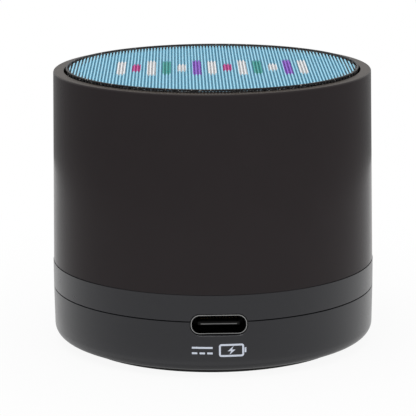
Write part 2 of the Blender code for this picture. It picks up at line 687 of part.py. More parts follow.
RING_OUTER = GRILLE_RADIUS - GRILLE_SHEET - SEAT_GAP
MESH_RADIUS = RING_OUTER - RING_WALL
MESH_PITCH = 2 * MESH_RADIUS / MESH_ACROSS
OPENING_WIDTH = MESH_PITCH - MESH_BAR
OPENING_SIZE = (OPENING_WIDTH, OPENING_WIDTH, GRILLE_SHEET + 2 * WELD)
opening_lines = [(line - (MESH_ACROSS - 1) / 2) * MESH_PITCH for line in range(MESH_ACROSS)]
grid = []
for across in opening_lines:
    for along in opening_lines:
        if math.hypot(across, along) < MESH_RADIUS:
            opening = bmesh.new()
            bmesh.ops.create_cube(opening, size=1.0, matrix=Matrix.Diagonal((*OPENING_SIZE, 1.0)))
            grid.append(moved(opening, 0.0, (across, along, GRILLE_TOP - GRILLE_SHEET / 2)))
mesh_openings = helper("mesh_openings", together(grid))
combine(mesh_openings, helper("mesh_disc", turned([
    (0, GRILLE_UNDERSIDE - 2 * WELD),
    (MESH_RADIUS, GRILLE_UNDERSIDE - 2 * WELD),
    (MESH_RADIUS, GRILLE_TOP + 2 * WELD),
    (0, GRILLE_TOP + 2 * WELD),
], DRIVER_SIDES)), 'INTERSECT')
combine(grille, mesh_openings, 'DIFFERENCE')

RING_BOTTOM = BAFFLE_TOP + SEAT_GAP
RING_TOP = GRILLE_UNDERSIDE - SEAT_GAP
RING_STEP = SKIRT_BOTTOM - SLIP_GAP
RING_CHAMFER = GRILLE_ROLL - GRILLE_SHEET
piece("grille_ring", turned([
    (RING_BORE, RING_BOTTOM),
    (RING_FOOT, RING_BOTTOM),
    (RING_FOOT, RING_STEP),
    (RING_OUTER, RING_STEP),
    (RING_OUTER, RING_TOP - RING_CHAMFER),
    (RING_OUTER - RING_CHAMFER, RING_TOP),
    (RING_OUTER - RING_WALL, RING_TOP),
    (RING_BORE, FLANGE_TOP),
], DRIVER_SIDES), BLACK, 0.6, parent=speaker)

# Driver gasket and pressed basket with windows and a ledge for the spider
piece("driver_gasket", turned([
    (BAFFLE_RADIUS + GASKET_MARGIN, BAFFLE_TOP + SEAT_GAP),
    (DRIVER_RADIUS - GASKET_MARGIN, BAFFLE_TOP + SEAT_GAP),
    (DRIVER_RADIUS - GASKET_MARGIN, FLANGE_UNDERSIDE - SEAT_GAP),
    (BAFFLE_RADIUS + GASKET_MARGIN, FLANGE_UNDERSIDE - SEAT_GAP),
], DRIVER_SIDES), (0.03, 0.03, 0.03), 0.9, parent=speaker)

WELL_RADIUS = LEDGE_RADIUS - LEDGE_WIDTH
LEDGE_UNDERSIDE = LEDGE_TOP - BASKET_SHEET
BASKET_FLOOR = BASKET_UNDERSIDE + BASKET_SHEET
BASKET_BORE = PLATE_BORE + COIL_GAP
basket = piece("driver_basket", turned([
    (DRIVER_RADIUS, FLANGE_TOP),
    (DRIVER_RADIUS, FLANGE_UNDERSIDE),
    (THROAT, FLANGE_UNDERSIDE),
    (LEDGE_RADIUS + BASKET_SHEET, LEDGE_UNDERSIDE),
    (WELL_RADIUS + BASKET_SHEET, LEDGE_UNDERSIDE),
    (WELL_RADIUS + BASKET_SHEET, BASKET_UNDERSIDE),
    (BASKET_BORE, BASKET_UNDERSIDE),
    (BASKET_BORE, BASKET_FLOOR),
    (WELL_RADIUS, BASKET_FLOOR),
    (WELL_RADIUS, LEDGE_TOP),
    (LEDGE_RADIUS, LEDGE_TOP),
    (THROAT - BASKET_SHEET, FLANGE_UNDERSIDE),
    (THROAT - BASKET_SHEET, FLANGE_TOP),
], DRIVER_SIDES), (0.20, 0.20, 0.21), 0.4, 0.9, parent=speaker)

window_low = LEDGE_TOP + WINDOW_MARGIN
window_high = FLANGE_UNDERSIDE - WINDOW_MARGIN
window_half = LEDGE_RADIUS * math.sin(math.radians(WINDOW_SPAN / 2))
windows = []
for number in range(WINDOW_COUNT):
    columns = rounded(2 * window_half, window_high - window_low, (window_high - window_low) / 3)
    body = lofted([(columns, WELL_RADIUS, False), (columns, DRIVER_RADIUS, False)])
    bearing = 360.0 * (number + 0.5) / WINDOW_COUNT
    windows.append(moved(body, bearing, (0, 0, (window_low + window_high) / 2)))
combine(basket, helper("basket_windows", together(windows)), 'DIFFERENCE')

# Magnet system: top plate, ferrite ring and yoke with its pole
piece("top_plate", turned([
    (PLATE_BORE, TOP_PLATE_TOP - TOP_PLATE_THICKNESS),
    (TOP_PLATE_RADIUS, TOP_PLATE_TOP - TOP_PLATE_THICKNESS),
    (TOP_PLATE_RADIUS, TOP_PLATE_TOP),
    (PLATE_BORE, TOP_PLATE_TOP),
], DRIVER_SIDES), STEEL, 0.35, 1.0, parent=speaker)
piece("magnet", turned([
    (MAGNET_BORE, MAGNET_TOP - MAGNET_HEIGHT),
    (MAGNET_RADIUS, MAGNET_TOP - MAGNET_HEIGHT),
    (MAGNET_RADIUS, MAGNET_TOP),
    (MAGNET_BORE, MAGNET_TOP),
], DRIVER_SIDES), (0.05, 0.05, 0.05), 0.7, parent=speaker)
piece("yoke", turned([
    (0, YOKE_TOP - YOKE_THICKNESS),
    (YOKE_RADIUS, YOKE_TOP - YOKE_THICKNESS),
    (YOKE_RADIUS, YOKE_TOP),
    (POLE_RADIUS, YOKE_TOP),
    (POLE_RADIUS, TOP_PLATE_TOP),
    (0, TOP_PLATE_TOP),
], DRIVER_SIDES), STEEL, 0.35, 1.0, parent=speaker)

# Moving cone with its dust cap, coil former and winding, on an empty of its own
cone_mount = holder("cone_mount", 0.0, 0.0)
RIM_TOP = FLANGE_TOP
RIM_UNDERSIDE = RIM_TOP - CONE_SHEET
NECK_LEVEL = RIM_TOP - CONE_NECK_DEPTH
NECK_RADIUS = FORMER_OUTER + SEAT_GAP
RIM_INNER = CONE_RADIUS - CONE_RIM
piece("driver_cone", turned([
    (CONE_RADIUS, RIM_TOP),
    (CONE_RADIUS, RIM_UNDERSIDE),
    (RIM_INNER, RIM_UNDERSIDE),
    (NECK_RADIUS + CONE_SHEET, NECK_LEVEL),
    (NECK_RADIUS, NECK_LEVEL),
    (NECK_RADIUS, NECK_LEVEL + CONE_SHEET),
    (RIM_INNER - CONE_SHEET, RIM_TOP),
], DRIVER_SIDES), (0.02, 0.02, 0.022), 0.8, parent=cone_mount)

cone_slope = (RIM_TOP - NECK_LEVEL - CONE_SHEET) / (RIM_INNER - CONE_SHEET - NECK_RADIUS)
CAP_LEVEL = NECK_LEVEL + CONE_SHEET + cone_slope * (DUST_CAP_RADIUS - NECK_RADIUS) + SEAT_GAP


def cap_dome(radius, rise, steps):
    """Dome of the dust cap, from the middle out to its edge."""
    points = []
    for step in range(steps + 1):
        out = step / steps
        points.append((radius * out, CAP_LEVEL + rise * (1 - out ** 2)))
    return points


piece("dust_cap", turned(
    cap_dome(DUST_CAP_RADIUS, DUST_CAP_RISE, 4)
    + cap_dome(DUST_CAP_RADIUS - DUST_CAP_SHEET, DUST_CAP_RISE - DUST_CAP_SHEET, 4)[::-1],
    DRIVER_SIDES,
), (0.02, 0.02, 0.022), 0.6, parent=cone_mount)

FORMER_TOP = NECK_LEVEL + CONE_SHEET
FORMER_BOTTOM = FORMER_TOP - FORMER_HEIGHT
piece("coil_former", turned([
    (FORMER_INNER, FORMER_BOTTOM),
    (FORMER_OUTER, FORMER_BOTTOM),
    (FORMER_OUTER, FORMER_TOP),
    (FORMER_INNER, FORMER_TOP),
], DRIVER_SIDES), (0.55, 0.45, 0.30), 0.6, parent=cone_mount)
piece("coil_winding", turned([
    (WINDING_INNER, FORMER_BOTTOM),
    (WINDING_OUTER, FORMER_BOTTOM),
    (WINDING_OUTER, FORMER_BOTTOM + WINDING_HEIGHT),
    (WINDING_INNER, FORMER_BOTTOM + WINDING_HEIGHT),
], DRIVER_SIDES), (0.60, 0.25, 0.10), 0.35, 1.0, parent=cone_mount)

# Rubber surround: half roll between the cone's rim and the flange
SURROUND_LEVEL = FLANGE_TOP + SEAT_GAP
ROLL_CENTRE = (CONE_RADIUS + SURROUND_ROLL, SURROUND_LEVEL)
SURROUND_INNER = CONE_RADIUS - CONE_RIM / 2
SURROUND_OUTER = CONE_RADIUS + 2 * SURROUND_ROLL + SURROUND_FOOT
ROLL_INSIDE = SURROUND_ROLL - SURROUND_SHEET / 2
ROLL_OUTSIDE = SURROUND_ROLL + SURROUND_SHEET / 2
roll_start = math.degrees(math.asin(SURROUND_SHEET / ROLL_OUTSIDE))
inner_roll = arc(ROLL_CENTRE, ROLL_INSIDE, 0, 180, 4)
outer_roll = arc(ROLL_CENTRE, ROLL_OUTSIDE, 180 - roll_start, roll_start, 4)
piece("driver_surround", turned(
    [(SURROUND_OUTER, SURROUND_LEVEL)]
    + inner_roll
    + [
        (SURROUND_INNER, SURROUND_LEVEL),
        (SURROUND_INNER, SURROUND_LEVEL + SURROUND_SHEET),
    ]
    + outer_roll
    + [(SURROUND_OUTER, SURROUND_LEVEL + SURROUND_SHEET)],
    DRIVER_SIDES,
), (0.015, 0.015, 0.015), 0.7, parent=speaker)

# Spider: corrugated ring between the coil former and the ledge
SPIDER_LEVEL = LEDGE_TOP + SEAT_GAP
SPIDER_INNER = FORMER_OUTER + SEAT_GAP
SPIDER_OUTER = LEDGE_RADIUS - SPIDER_FLAT / 4
wave_start = SPIDER_INNER + SPIDER_FLAT / 2
wave_end = WELL_RADIUS - SPIDER_SHEET
wave_points = [(SPIDER_INNER, SPIDER_LEVEL)]
for step in range(2 * SPIDER_WAVES + 1):
    out = wave_start + (wave_end - wave_start) * step / (2 * SPIDER_WAVES)
    side = SPIDER_WAVE * math.sin(math.pi / 2 * (step % 4))
    wave_points.append((out, SPIDER_LEVEL + side))
wave_points.append((SPIDER_OUTER, SPIDER_LEVEL))
piece("spider", turned(
    wave_points + [(out, level + SPIDER_SHEET) for out, level in reversed(wave_points)],
    DRIVER_SIDES,
), (0.45, 0.33, 0.12), 0.85, parent=speaker)

# Terminal strip under the ledge, at the back
TERMINAL_BEARING = 90.0
TERMINAL_INNER = WELL_RADIUS + BASKET_SHEET + SLIP_GAP
TERMINAL_OUTER = MAGNET_RADIUS + TERMINAL_REACH
TERMINAL_TOP = LEDGE_UNDERSIDE - SEAT_GAP
terminal_size = (TERMINAL_OUTER - TERMINAL_INNER, TERMINAL_WIDTH, TERMINAL_THICKNESS)
piece("terminal_strip", moved(
    block(terminal_size, TERMINAL_THICKNESS, TERMINAL_TOP - TERMINAL_THICKNESS),
    TERMINAL_BEARING,
    ((TERMINAL_OUTER + TERMINAL_INNER) / 2, 0, 0),
), (0.35, 0.22, 0.10), 0.6, parent=speaker)

# Circuit board, clamped between the posts of the cover and the bosses of the deck
board = piece("circuit_board", turned([
    (0, BOARD_UNDERSIDE),
    (BOARD_RADIUS, BOARD_UNDERSIDE),
    (BOARD_RADIUS, BOARD_TOP),
    (0, BOARD_TOP),
], CASE_SIDES), (0.02, 0.10, 0.05), 0.45, parent=speaker)
board_holes = [
    moved(turned([
        (0, BOARD_UNDERSIDE - WELD),
        (HOLE_RADIUS, BOARD_UNDERSIDE - WELD),
        (HOLE_RADIUS, BOARD_TOP + WELD),
        (0, BOARD_TOP + WELD),
    ], SMALL_SIDES), bearing, (SCREW_CIRCLE, 0, 0))
    for bearing in SCREW_BEARINGS
]
combine(board, helper("board_holes", together(board_holes)), 'DIFFERENCE')

# Charging socket: drawn shell with the tongue and its insulator inside
SHELL_MOUTH = BASE_RADIUS - SHELL_SETBACK
SHELL_BACK = SHELL_MOUTH - SHELL_LENGTH
port_mount = holder("port_mount", PORT_BEARING, PORT_LEVEL)
shell_outside = rounded(SHELL_WIDTH, SHELL_HEIGHT, SHELL_CORNER)
shell_inside = rounded(SHELL_WIDTH, SHELL_HEIGHT, SHELL_CORNER, -SHELL_SHEET)
piece("usb_shell", lofted([
    (shell_outside, SHELL_BACK, False),
    (shell_outside, SHELL_MOUTH, False),
    (shell_inside, SHELL_MOUTH, False),
    (shell_inside, SHELL_BACK + SHELL_SHEET, False),
]), STEEL, 0.25, 1.0, parent=port_mount)

insulator = rounded(SHELL_WIDTH, SHELL_HEIGHT, SHELL_CORNER, -SHELL_SHEET - SEAT_GAP)
tongue = rounded(TONGUE_WIDTH, TONGUE_HEIGHT, TONGUE_HEIGHT / 4)
INSULATOR_BACK = SHELL_BACK + SHELL_SHEET + SEAT_GAP
piece("usb_tongue", lofted([
    (insulator, INSULATOR_BACK, False),
    (insulator, INSULATOR_BACK + INSULATOR_LENGTH, False),
    (tongue, INSULATOR_BACK + INSULATOR_LENGTH, False),
    (tongue, SHELL_MOUTH - TONGUE_SETBACK, False),
]), BLACK, 0.4, parent=port_mount)

# Push keys, each held behind the wall by a flange and pressing the plunger of its own switch
FLANGE_FRONT = BASE_INNER - RUN_GAP
flange_columns = rounded(KEY_WIDTH, KEY_HEIGHT, KEY_CORNER, KEY_FLANGE)
key_columns = rounded(KEY_WIDTH, KEY_HEIGHT, KEY_CORNER)
face_columns = rounded(KEY_WIDTH, KEY_HEIGHT, KEY_CORNER, -KEY_CHAMFER)
nib_columns = rounded(KEY_NIB_WIDTH, KEY_NIB_HEIGHT, KEY_NIB_HEIGHT / 4)
flange_half = KEY_WIDTH / 2 + KEY_FLANGE
FLANGE_BACK = math.sqrt(FLANGE_FRONT ** 2 - flange_half ** 2) - KEY_FLANGE_THICKNESS
NIB_TIP = FLANGE_BACK - KEY_NIB
KEY_FACE = BASE_RADIUS + KEY_PROUD
PLUNGER_TIP = NIB_TIP - SEAT_GAP
TACT_FRONT = PLUNGER_TIP - PLUNGER_REACH
TACT_POCKET = PLUNGER_ROOT + KEY_TRAVEL + RUN_GAP
tact_columns = rounded(TACT_WIDTH, TACT_HEIGHT, CHIP_CORNER, steps=1)
pocket_columns = rounded(PLUNGER_WIDTH, PLUNGER_HEIGHT, CHIP_CORNER, SLIP_GAP, steps=1)
plunger_columns = rounded(PLUNGER_WIDTH, PLUNGER_HEIGHT, CHIP_CORNER, steps=1)
for name, bearing in key_bearings.items():
    use = name.removeprefix("key_")
    key_mount = holder(name + "_mount", bearing, KEY_LEVEL)
    piece(name, lofted([
        (nib_columns, NIB_TIP, False),
        (nib_columns, FLANGE_BACK, False),
        (flange_columns, FLANGE_BACK, False),
        (flange_columns, FLANGE_FRONT, True),
        (key_columns, FLANGE_FRONT, True),
        (key_columns, KEY_FACE - KEY_CHAMFER, True),
        (face_columns, KEY_FACE, True),
    ]), BASE_COLOUR, 0.5, parent=key_mount)
    piece("key_plunger_" + use, lofted([
        (plunger_columns, TACT_FRONT - PLUNGER_ROOT, False),
        (plunger_columns, PLUNGER_TIP, False),
    ]), BLACK, 0.5, parent=key_mount)
    piece("key_switch_" + use, lofted([
        (tact_columns, TACT_FRONT - TACT_DEPTH, False),
        (tact_columns, TACT_FRONT, False),
        (pocket_columns, TACT_FRONT, False),
        (pocket_columns, TACT_FRONT - TACT_POCKET, False),
    ]), STEEL, 0.4, 1.0, parent=key_mount)

# On/off switch: knob in a slot, gripping the lever of a slide switch on the board
knob_mount = holder("knob_mount", SWITCH_BEARING, KNOB_LEVEL)
REST_SHIFT = -SWITCH_TRAVEL / 2
KNOB_FLANGE_WIDTH = SLOT_WIDTH + SWITCH_TRAVEL + 2 * (RUN_GAP + KNOB_FLANGE)
KNOB_FLANGE_HEIGHT = KNOB_HEIGHT + 2 * (RUN_GAP + KNOB_FLANGE)
knob_sweep = (KNOB_FLANGE_WIDTH + SWITCH_TRAVEL) / 2
KNOB_FLANGE_FRONT = math.sqrt((BASE_INNER - RUN_GAP) ** 2 - knob_sweep ** 2)
KNOB_FLANGE_BACK = KNOB_FLANGE_FRONT - KNOB_FLANGE_THICKNESS
KNOB_FACE = BASE_RADIUS + KNOB_PROUD
LEVER_TIP = KNOB_FLANGE_BACK + LEVER_GRIP
SLIDE_FRONT = KNOB_FLANGE_BACK - LEVER_REACH
lever_columns = rounded(LEVER_WIDTH, LEVER_HEIGHT, CHIP_CORNER, steps=1)
grip_columns = rounded(LEVER_WIDTH, LEVER_HEIGHT, CHIP_CORNER, SLIP_GAP)
knob_flange = rounded(KNOB_FLANGE_WIDTH, KNOB_FLANGE_HEIGHT, KNOB_CORNER)
knob_columns = rounded(KNOB_WIDTH, KNOB_HEIGHT, KNOB_CORNER)
knob_face = rounded(KNOB_WIDTH, KNOB_HEIGHT, KNOB_CORNER, -KNOB_CHAMFER)
piece("switch_knob", lofted([
    (grip_columns, LEVER_TIP + SLIP_GAP, False),
    (grip_columns, KNOB_FLANGE_BACK, False),
    (knob_flange, KNOB_FLANGE_BACK, False),
    (knob_flange, KNOB_FLANGE_FRONT, False),
    (knob_columns, KNOB_FLANGE_FRONT, False),
    (knob_columns, KNOB_FACE - KNOB_CHAMFER, False),
    (knob_face, KNOB_FACE, False),
]), BASE_COLOUR, 0.5, parent=knob_mount, place=(0, REST_SHIFT, 0))
piece("slide_switch_lever", lofted([
    (lever_columns, SLIDE_FRONT - LEVER_ROOT, False),
    (lever_columns, LEVER_TIP, False),
]), BLACK, 0.5, parent=knob_mount, place=(0, REST_SHIFT, 0))

slide_columns = rounded(SLIDE_WIDTH, SLIDE_HEIGHT, CHIP_CORNER, steps=1)
track_columns = rounded(LEVER_WIDTH + SWITCH_TRAVEL, LEVER_HEIGHT, CHIP_CORNER, RUN_GAP, steps=1)
piece("slide_switch_body", lofted([
    (slide_columns, SLIDE_FRONT - SLIDE_DEPTH, False),
    (slide_columns, SLIDE_FRONT, False),
    (track_columns, SLIDE_FRONT, False),
    (track_columns, SLIDE_FRONT - LEVER_ROOT - RUN_GAP, False),
]), STEEL, 0.4, 1.0, parent=knob_mount)

# Status light: clear pipe with a collar, lit by an LED on the board
lens_mount = holder("lens_mount", LENS_BEARING, LENS_HEIGHT)
LENS_FRONT = BASE_RADIUS
LENS_BACK = LENS_FRONT - LENS_LENGTH
COLLAR_FRONT = BASE_INNER - RUN_GAP
COLLAR_BACK = COLLAR_FRONT - LENS_COLLAR
lens_body = turned([
    (0, LENS_BACK),
    (LENS_RADIUS, LENS_BACK),
    (LENS_RADIUS, COLLAR_BACK),
    (LENS_RADIUS + LENS_COLLAR, COLLAR_BACK),
    (LENS_RADIUS + LENS_COLLAR, COLLAR_FRONT),
    (LENS_RADIUS, COLLAR_FRONT),
    (LENS_RADIUS, LENS_FRONT),
    (0, LENS_FRONT),
], SMALL_SIDES)
lens_turn = Matrix.Rotation(math.pi / 2, 3, 'Y')
bmesh.ops.rotate(lens_body, verts=lens_body.verts, cent=(0, 0, 0), matrix=lens_turn)
piece("indicator_lens", lens_body, (0.75, 0.80, 0.85), 0.15, parent=lens_mount)
LED_FRONT = LENS_BACK - SEAT_GAP
piece("indicator_led", moved(
    block((LED_DEPTH, LED_WIDTH, LED_HEIGHT), CHIP_CORNER, PARTS_LEVEL),
    LENS_BEARING,
    (LED_FRONT - LED_DEPTH / 2, 0, 0),
), (0.85, 0.85, 0.80), 0.4, parent=speaker)

# Microphone capsule on the edge of the board, behind a pinhole
MICROPHONE_FRONT = BASE_INNER - MICROPHONE_INSET
microphone_mount = holder("microphone_mount", MICROPHONE_BEARING, MICROPHONE_LEVEL)
piece(
    "microphone",
    rod(MICROPHONE_RADIUS, MICROPHONE_FRONT - MICROPHONE_DEPTH, MICROPHONE_FRONT),
    STEEL, 0.35, 1.0, parent=microphone_mount,
)

# Parts soldered flat on the board
flat_parts = {
    "bluetooth_chip": (BLUETOOTH_SIZE, BLUETOOTH_PLACE, BLACK),
    "amplifier_chip": (AMPLIFIER_SIZE, AMPLIFIER_PLACE, BLACK),
    "crystal": (CRYSTAL_SIZE, CRYSTAL_PLACE, STEEL),
    "inductor": (INDUCTOR_SIZE, INDUCTOR_PLACE, (0.10, 0.10, 0.11)),
}
for name, (size, place, colour) in flat_parts.items():
    piece(name, block(size, CHIP_CORNER, PARTS_LEVEL), colour, 0.4, parent=speaker, place=(*place, 0))
piece("capacitor", turned([
    (0, PARTS_LEVEL),
    (CAPACITOR_RADIUS, PARTS_LEVEL),
    (CAPACITOR_RADIUS, PARTS_LEVEL + CAPACITOR_HEIGHT),
    (0, PARTS_LEVEL + CAPACITOR_HEIGHT),
], SMALL_SIDES), STEEL, 0.3, 1.0, parent=speaker, place=(*CAPACITOR_PLACE, 0))

# Battery pouch on a foam pad on the deck
TAPE_BOTTOM = DECK_TOP + SEAT_GAP
CELL_BOTTOM = TAPE_BOTTOM + TAPE_SIZE[2] + SEAT_GAP
piece("battery_tape", block(TAPE_SIZE, CHIP_CORNER, TAPE_BOTTOM), (0.8, 0.8, 0.8), 0.9, parent=speaker)
piece("battery_cell", block(CELL_SIZE, CELL_CORNER, CELL_BOTTOM), (0.6, 0.6, 0.6), 0.35, 0.6, parent=speaker)

# Leads through the deck, from the cell and from the driver down to the board
CELL_END = CELL_SIZE[0] / 2 + SEAT_GAP
CELL_MIDDLE = CELL_BOTTOM + CELL_SIZE[2] / 2
LEAD_END = BOARD_TOP + SEAT_GAP
TERMINAL_UNDERSIDE = TERMINAL_TOP - TERMINAL_THICKNESS - SEAT_GAP
TERMINAL_PLACE = TERMINAL_OUTER - TERMINAL_REACH / 2
for colour_name, side, colour in (("red", 1, (0.45, 0.02, 0.02)), ("black", -1, BLACK)):
    across = side * LEAD_HALF_SPACING
    lead("battery_lead_" + colour_name, [
        (CELL_END, across, CELL_MIDDLE),
        (CELL_LEAD_PLACE - LEAD_BEND, across, CELL_MIDDLE - LEAD_BEND / 2),
        (CELL_LEAD_PLACE, across, DECK_TOP + LEAD_BEND),
        (CELL_LEAD_PLACE, across, DECK_UNDERSIDE),
        (CELL_LEAD_PLACE, across, LEAD_END),
    ], colour)
    lead("speaker_lead_" + colour_name, [
        (2 * across, TERMINAL_PLACE, TERMINAL_UNDERSIDE),
        (2 * across, TERMINAL_PLACE + LEAD_BOW, MAGNET_TOP),
        (2 * across, TERMINAL_PLACE + LEAD_BOW, YOKE_TOP),
        (across, DRIVER_LEAD_DISTANCE, DECK_TOP + 2 * LEAD_BEND),
        (across, DRIVER_LEAD_DISTANCE, DECK_UNDERSIDE),
        (across, DRIVER_LEAD_DISTANCE, LEAD_END),
    ], colour)

# Screws from below, through cover and board into the bosses, hidden by the foot
HEAD_TOP = SCREW_SEAT - SEAT_GAP
for number, bearing in enumerate(SCREW_BEARINGS, start=1):
    piece(f"base_screw_{number}", moved(turned([
        (0, HEAD_TOP - HEAD_HEIGHT),
        (HEAD_RADIUS, HEAD_TOP - HEAD_HEIGHT),
        (HEAD_RADIUS, HEAD_TOP),
        (SCREW_RADIUS, HEAD_TOP),
        (SCREW_RADIUS, SCREW_TOP - SCREW_RADIUS),
        (0, SCREW_TOP),
    ], SMALL_SIDES), bearing, (SCREW_CIRCLE, 0, 0)), STEEL, 0.3, 1.0, parent=speaker)
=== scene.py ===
"""Looks of a small round wireless speaker, dressed over its CAD frame.

Metres, +Z up. The socket faces -Y and the keys face +Y. Every piece sits at the origin with
its place in its mesh, and rides on the CAD body that carries it.
"""
import math

import bmesh
import bpy
from mathutils import Matrix, Vector


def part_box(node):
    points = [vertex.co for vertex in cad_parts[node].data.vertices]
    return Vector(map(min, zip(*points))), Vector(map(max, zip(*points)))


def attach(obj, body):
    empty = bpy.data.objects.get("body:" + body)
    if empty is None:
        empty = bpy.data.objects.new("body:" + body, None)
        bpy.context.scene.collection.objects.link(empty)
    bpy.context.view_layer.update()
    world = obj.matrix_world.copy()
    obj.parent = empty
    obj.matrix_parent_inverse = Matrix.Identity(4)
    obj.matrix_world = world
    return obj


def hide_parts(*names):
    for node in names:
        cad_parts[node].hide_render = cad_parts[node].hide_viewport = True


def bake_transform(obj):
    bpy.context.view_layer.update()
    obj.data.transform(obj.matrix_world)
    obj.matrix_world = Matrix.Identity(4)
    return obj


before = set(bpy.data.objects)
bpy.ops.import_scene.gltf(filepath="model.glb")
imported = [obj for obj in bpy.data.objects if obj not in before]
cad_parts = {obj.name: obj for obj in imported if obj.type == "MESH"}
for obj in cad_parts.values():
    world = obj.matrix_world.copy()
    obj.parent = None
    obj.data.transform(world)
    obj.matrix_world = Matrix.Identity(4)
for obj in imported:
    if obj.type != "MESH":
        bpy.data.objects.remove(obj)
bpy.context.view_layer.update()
MM = 0.001


# Lower moulding of the base. A cup of black ABS with a filleted bottom edge, a recess for the
# foot, a lap joint round its rim and three screw posts, moulded in one shot. Three screws
# from below clamp it and the circuit board to the upper moulding.
CASE_SIDES = 240
BASE_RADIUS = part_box("base_ring")[1].x
BASE_INNER = BASE_RADIUS - 1.7 * MM
COVER_UNDERSIDE, COVER_LAP_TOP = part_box("bottom_cover")[0].z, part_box("bottom_cover")[1].z
PARTING = COVER_LAP_TOP - 1.2 * MM
SEAM = 0.07 * MM
COVER_DRAFT = 0.1 * MM
COVER_FILLET = 1.9 * MM
RECESS_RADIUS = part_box("foot_pad")[1].x + 0.15 * MM
RECESS_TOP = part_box("foot_pad")[1].z + 0.06 * MM
FLOOR_TOP = RECESS_TOP + 1.4 * MM
LAP_OUTER = BASE_INNER + 0.75 * MM
EYE_RADIUS = 6.0 * MM
SCREW_CIRCLE = 15.0 * MM
SCREW_BEARINGS = (30.0, 150.0, 270.0)
BOARD_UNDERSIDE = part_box("circuit_board")[0].z
PORT_BEARING = -90.0
KEY_BEARINGS = {"key_previous": 68.0, "key_play": 90.0, "key_next": 112.0}
SWITCH_BEARING = 148.0
LENS_BEARING = 44.0
PINHOLE_BEARING = 24.0
PORT_OPENING = (9.12 * MM, 3.34 * MM, 1.54 * MM)
KEY_OPENING = (6.8 * MM, 3.8 * MM, 1.4 * MM)
KNOB_OPENING = (5.4 * MM, 2.6 * MM, 0.7 * MM)
LENS_HOLE_RADIUS = 0.95 * MM
PINHOLE_RADIUS = 0.5 * MM
CUTTER_NEAR = BASE_INNER - 1.0 * MM
OPENING_FLARE = 0.26 * MM
FLARE_CURVE = ((0.5, 0.13), (0.87, 0.5), (1.3, 0.95), (5.0, 0.95))
PILLAR_RADIUS = 2.95 * MM
HEAD_BORE_RADIUS, HEAD_BORE_DEPTH = 1.95 * MM, 1.5 * MM
SHANK_HOLE_RADIUS = 1.15 * MM
BOARD_SEAT = 0.06 * MM
TOOL_PAST = 0.3 * MM
BASE_BLACK = (0.0105, 0.0107, 0.0138)


def middle_level(node):
    """Level of the middle of a CAD node."""
    low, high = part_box(node)
    return (low.z + high.z) / 2


def arc(middle, radius, start, end, steps):
    """Points of an arc in a profile, from one angle in degrees to another."""
    points = []
    for step in range(steps + 1):
        angle = math.radians(start + (end - start) * step / steps)
        points.append((middle[0] + radius * math.cos(angle), middle[1] + radius * math.sin(angle)))
    return points


def deselect():
    """Leave no object selected."""
    bpy.ops.object.select_all(action='DESELECT')


def only(piece):
    """Make one piece the only selected and active one."""
    deselect()
    piece.select_set(True)
    bpy.context.view_layer.objects.active = piece


def open_mesh(piece):
    """Open one piece in edit mode, with all of it selected."""
    only(piece)
    bpy.ops.object.mode_set(mode='EDIT')
    bpy.ops.mesh.select_all(action='SELECT')


def close_mesh():
    """Leave edit mode."""
    bpy.ops.object.mode_set(mode='OBJECT')


def pick(piece, edges=None, faces=None):
    """Select the edges or faces, in edit mode, for which a test of the element is true."""
    mesh = bmesh.from_edit_mesh(piece.data)
    for group in (mesh.verts, mesh.edges, mesh.faces):
        for element in group:
            element.select = False
    chosen = [edge for edge in mesh.edges if edges(edge)] if edges else []
    chosen += [face for face in mesh.faces if faces(face)] if faces else []
    for element in chosen:
        element.select_set(True)
    bmesh.update_edit_mesh(piece.data)


def placed(name):
    """Name the primitive that was just added, and keep its place and scale in its mesh."""
    piece = bpy.context.object
    piece.name = name
    bpy.ops.object.transform_apply(location=True, rotation=True, scale=True)
    return piece


def turned(name, profile, sides, closed=True):
    """Turn a profile of (radius, level) points by extruding a circle from point to point.

    A closed profile comes back to its start. An open one has both its end rings filled.
    """
    deselect()
    radius, level = profile[0]
    bpy.ops.mesh.primitive_circle_add(vertices=sides, radius=radius, location=(0, 0, level))
    piece = placed(name)
    open_mesh(piece)
    bpy.ops.mesh.select_mode(type='EDGE')
    path = profile[1:] + (profile[:1] if closed else [])
    for next_radius, next_level in path:
        lift = (0, 0, next_level - level)
        bpy.ops.mesh.extrude_region_move(TRANSFORM_OT_translate={"value": lift})
        spread = next_radius / radius
        bpy.ops.transform.resize(value=(spread, spread, 1), center_override=(0, 0, 0))
        radius, level = next_radius, next_level
    bpy.ops.mesh.select_all(action='SELECT')
    bpy.ops.mesh.remove_doubles(threshold=1e-7)
    if not closed:
        bpy.ops.mesh.fill_holes(sides=0)
        bpy.ops.mesh.select_all(action='SELECT')
    bpy.ops.mesh.normals_make_consistent(inside=False)
    close_mesh()
    return piece


def applied(piece, kind, **settings):
    """Add a modifier to a piece and apply it."""
    modifier = piece.modifiers.new(kind, kind)
    for name, value in settings.items():
        setattr(modifier, name, value)
    only(piece)
    bpy.ops.object.modifier_apply(modifier=modifier.name)
    return piece


def eased(piece, width, angle=32, segments=2):
    """Round off every edge that is sharper than an angle in degrees."""
    return applied(
        piece, 'BEVEL', width=width, segments=segments, limit_method='ANGLE',
        angle_limit=math.radians(angle), use_clamp_overlap=True,
    )


def smoothed(piece, angle=32):
    """Merge a piece's doubled points and shade it smooth up to an angle in degrees."""
    open_mesh(piece)
    bpy.ops.mesh.remove_doubles(threshold=1e-6)
    bpy.ops.mesh.normals_make_consistent(inside=False)
    close_mesh()
    bpy.ops.object.shade_smooth_by_angle(angle=math.radians(angle))
    return applied(piece, 'WEIGHTED_NORMAL', mode='FACE_AREA_WITH_ANGLE', keep_sharp=True)


def swung(piece, bearing, level=0.0):
    """Lift a piece and turn it round Z to a bearing in degrees, with its place kept in its mesh."""
    only(piece)
    piece.location.z += level
    piece.rotation_euler.z = math.radians(bearing)
    bpy.ops.object.transform_apply(location=True, rotation=True, scale=True)
    return piece


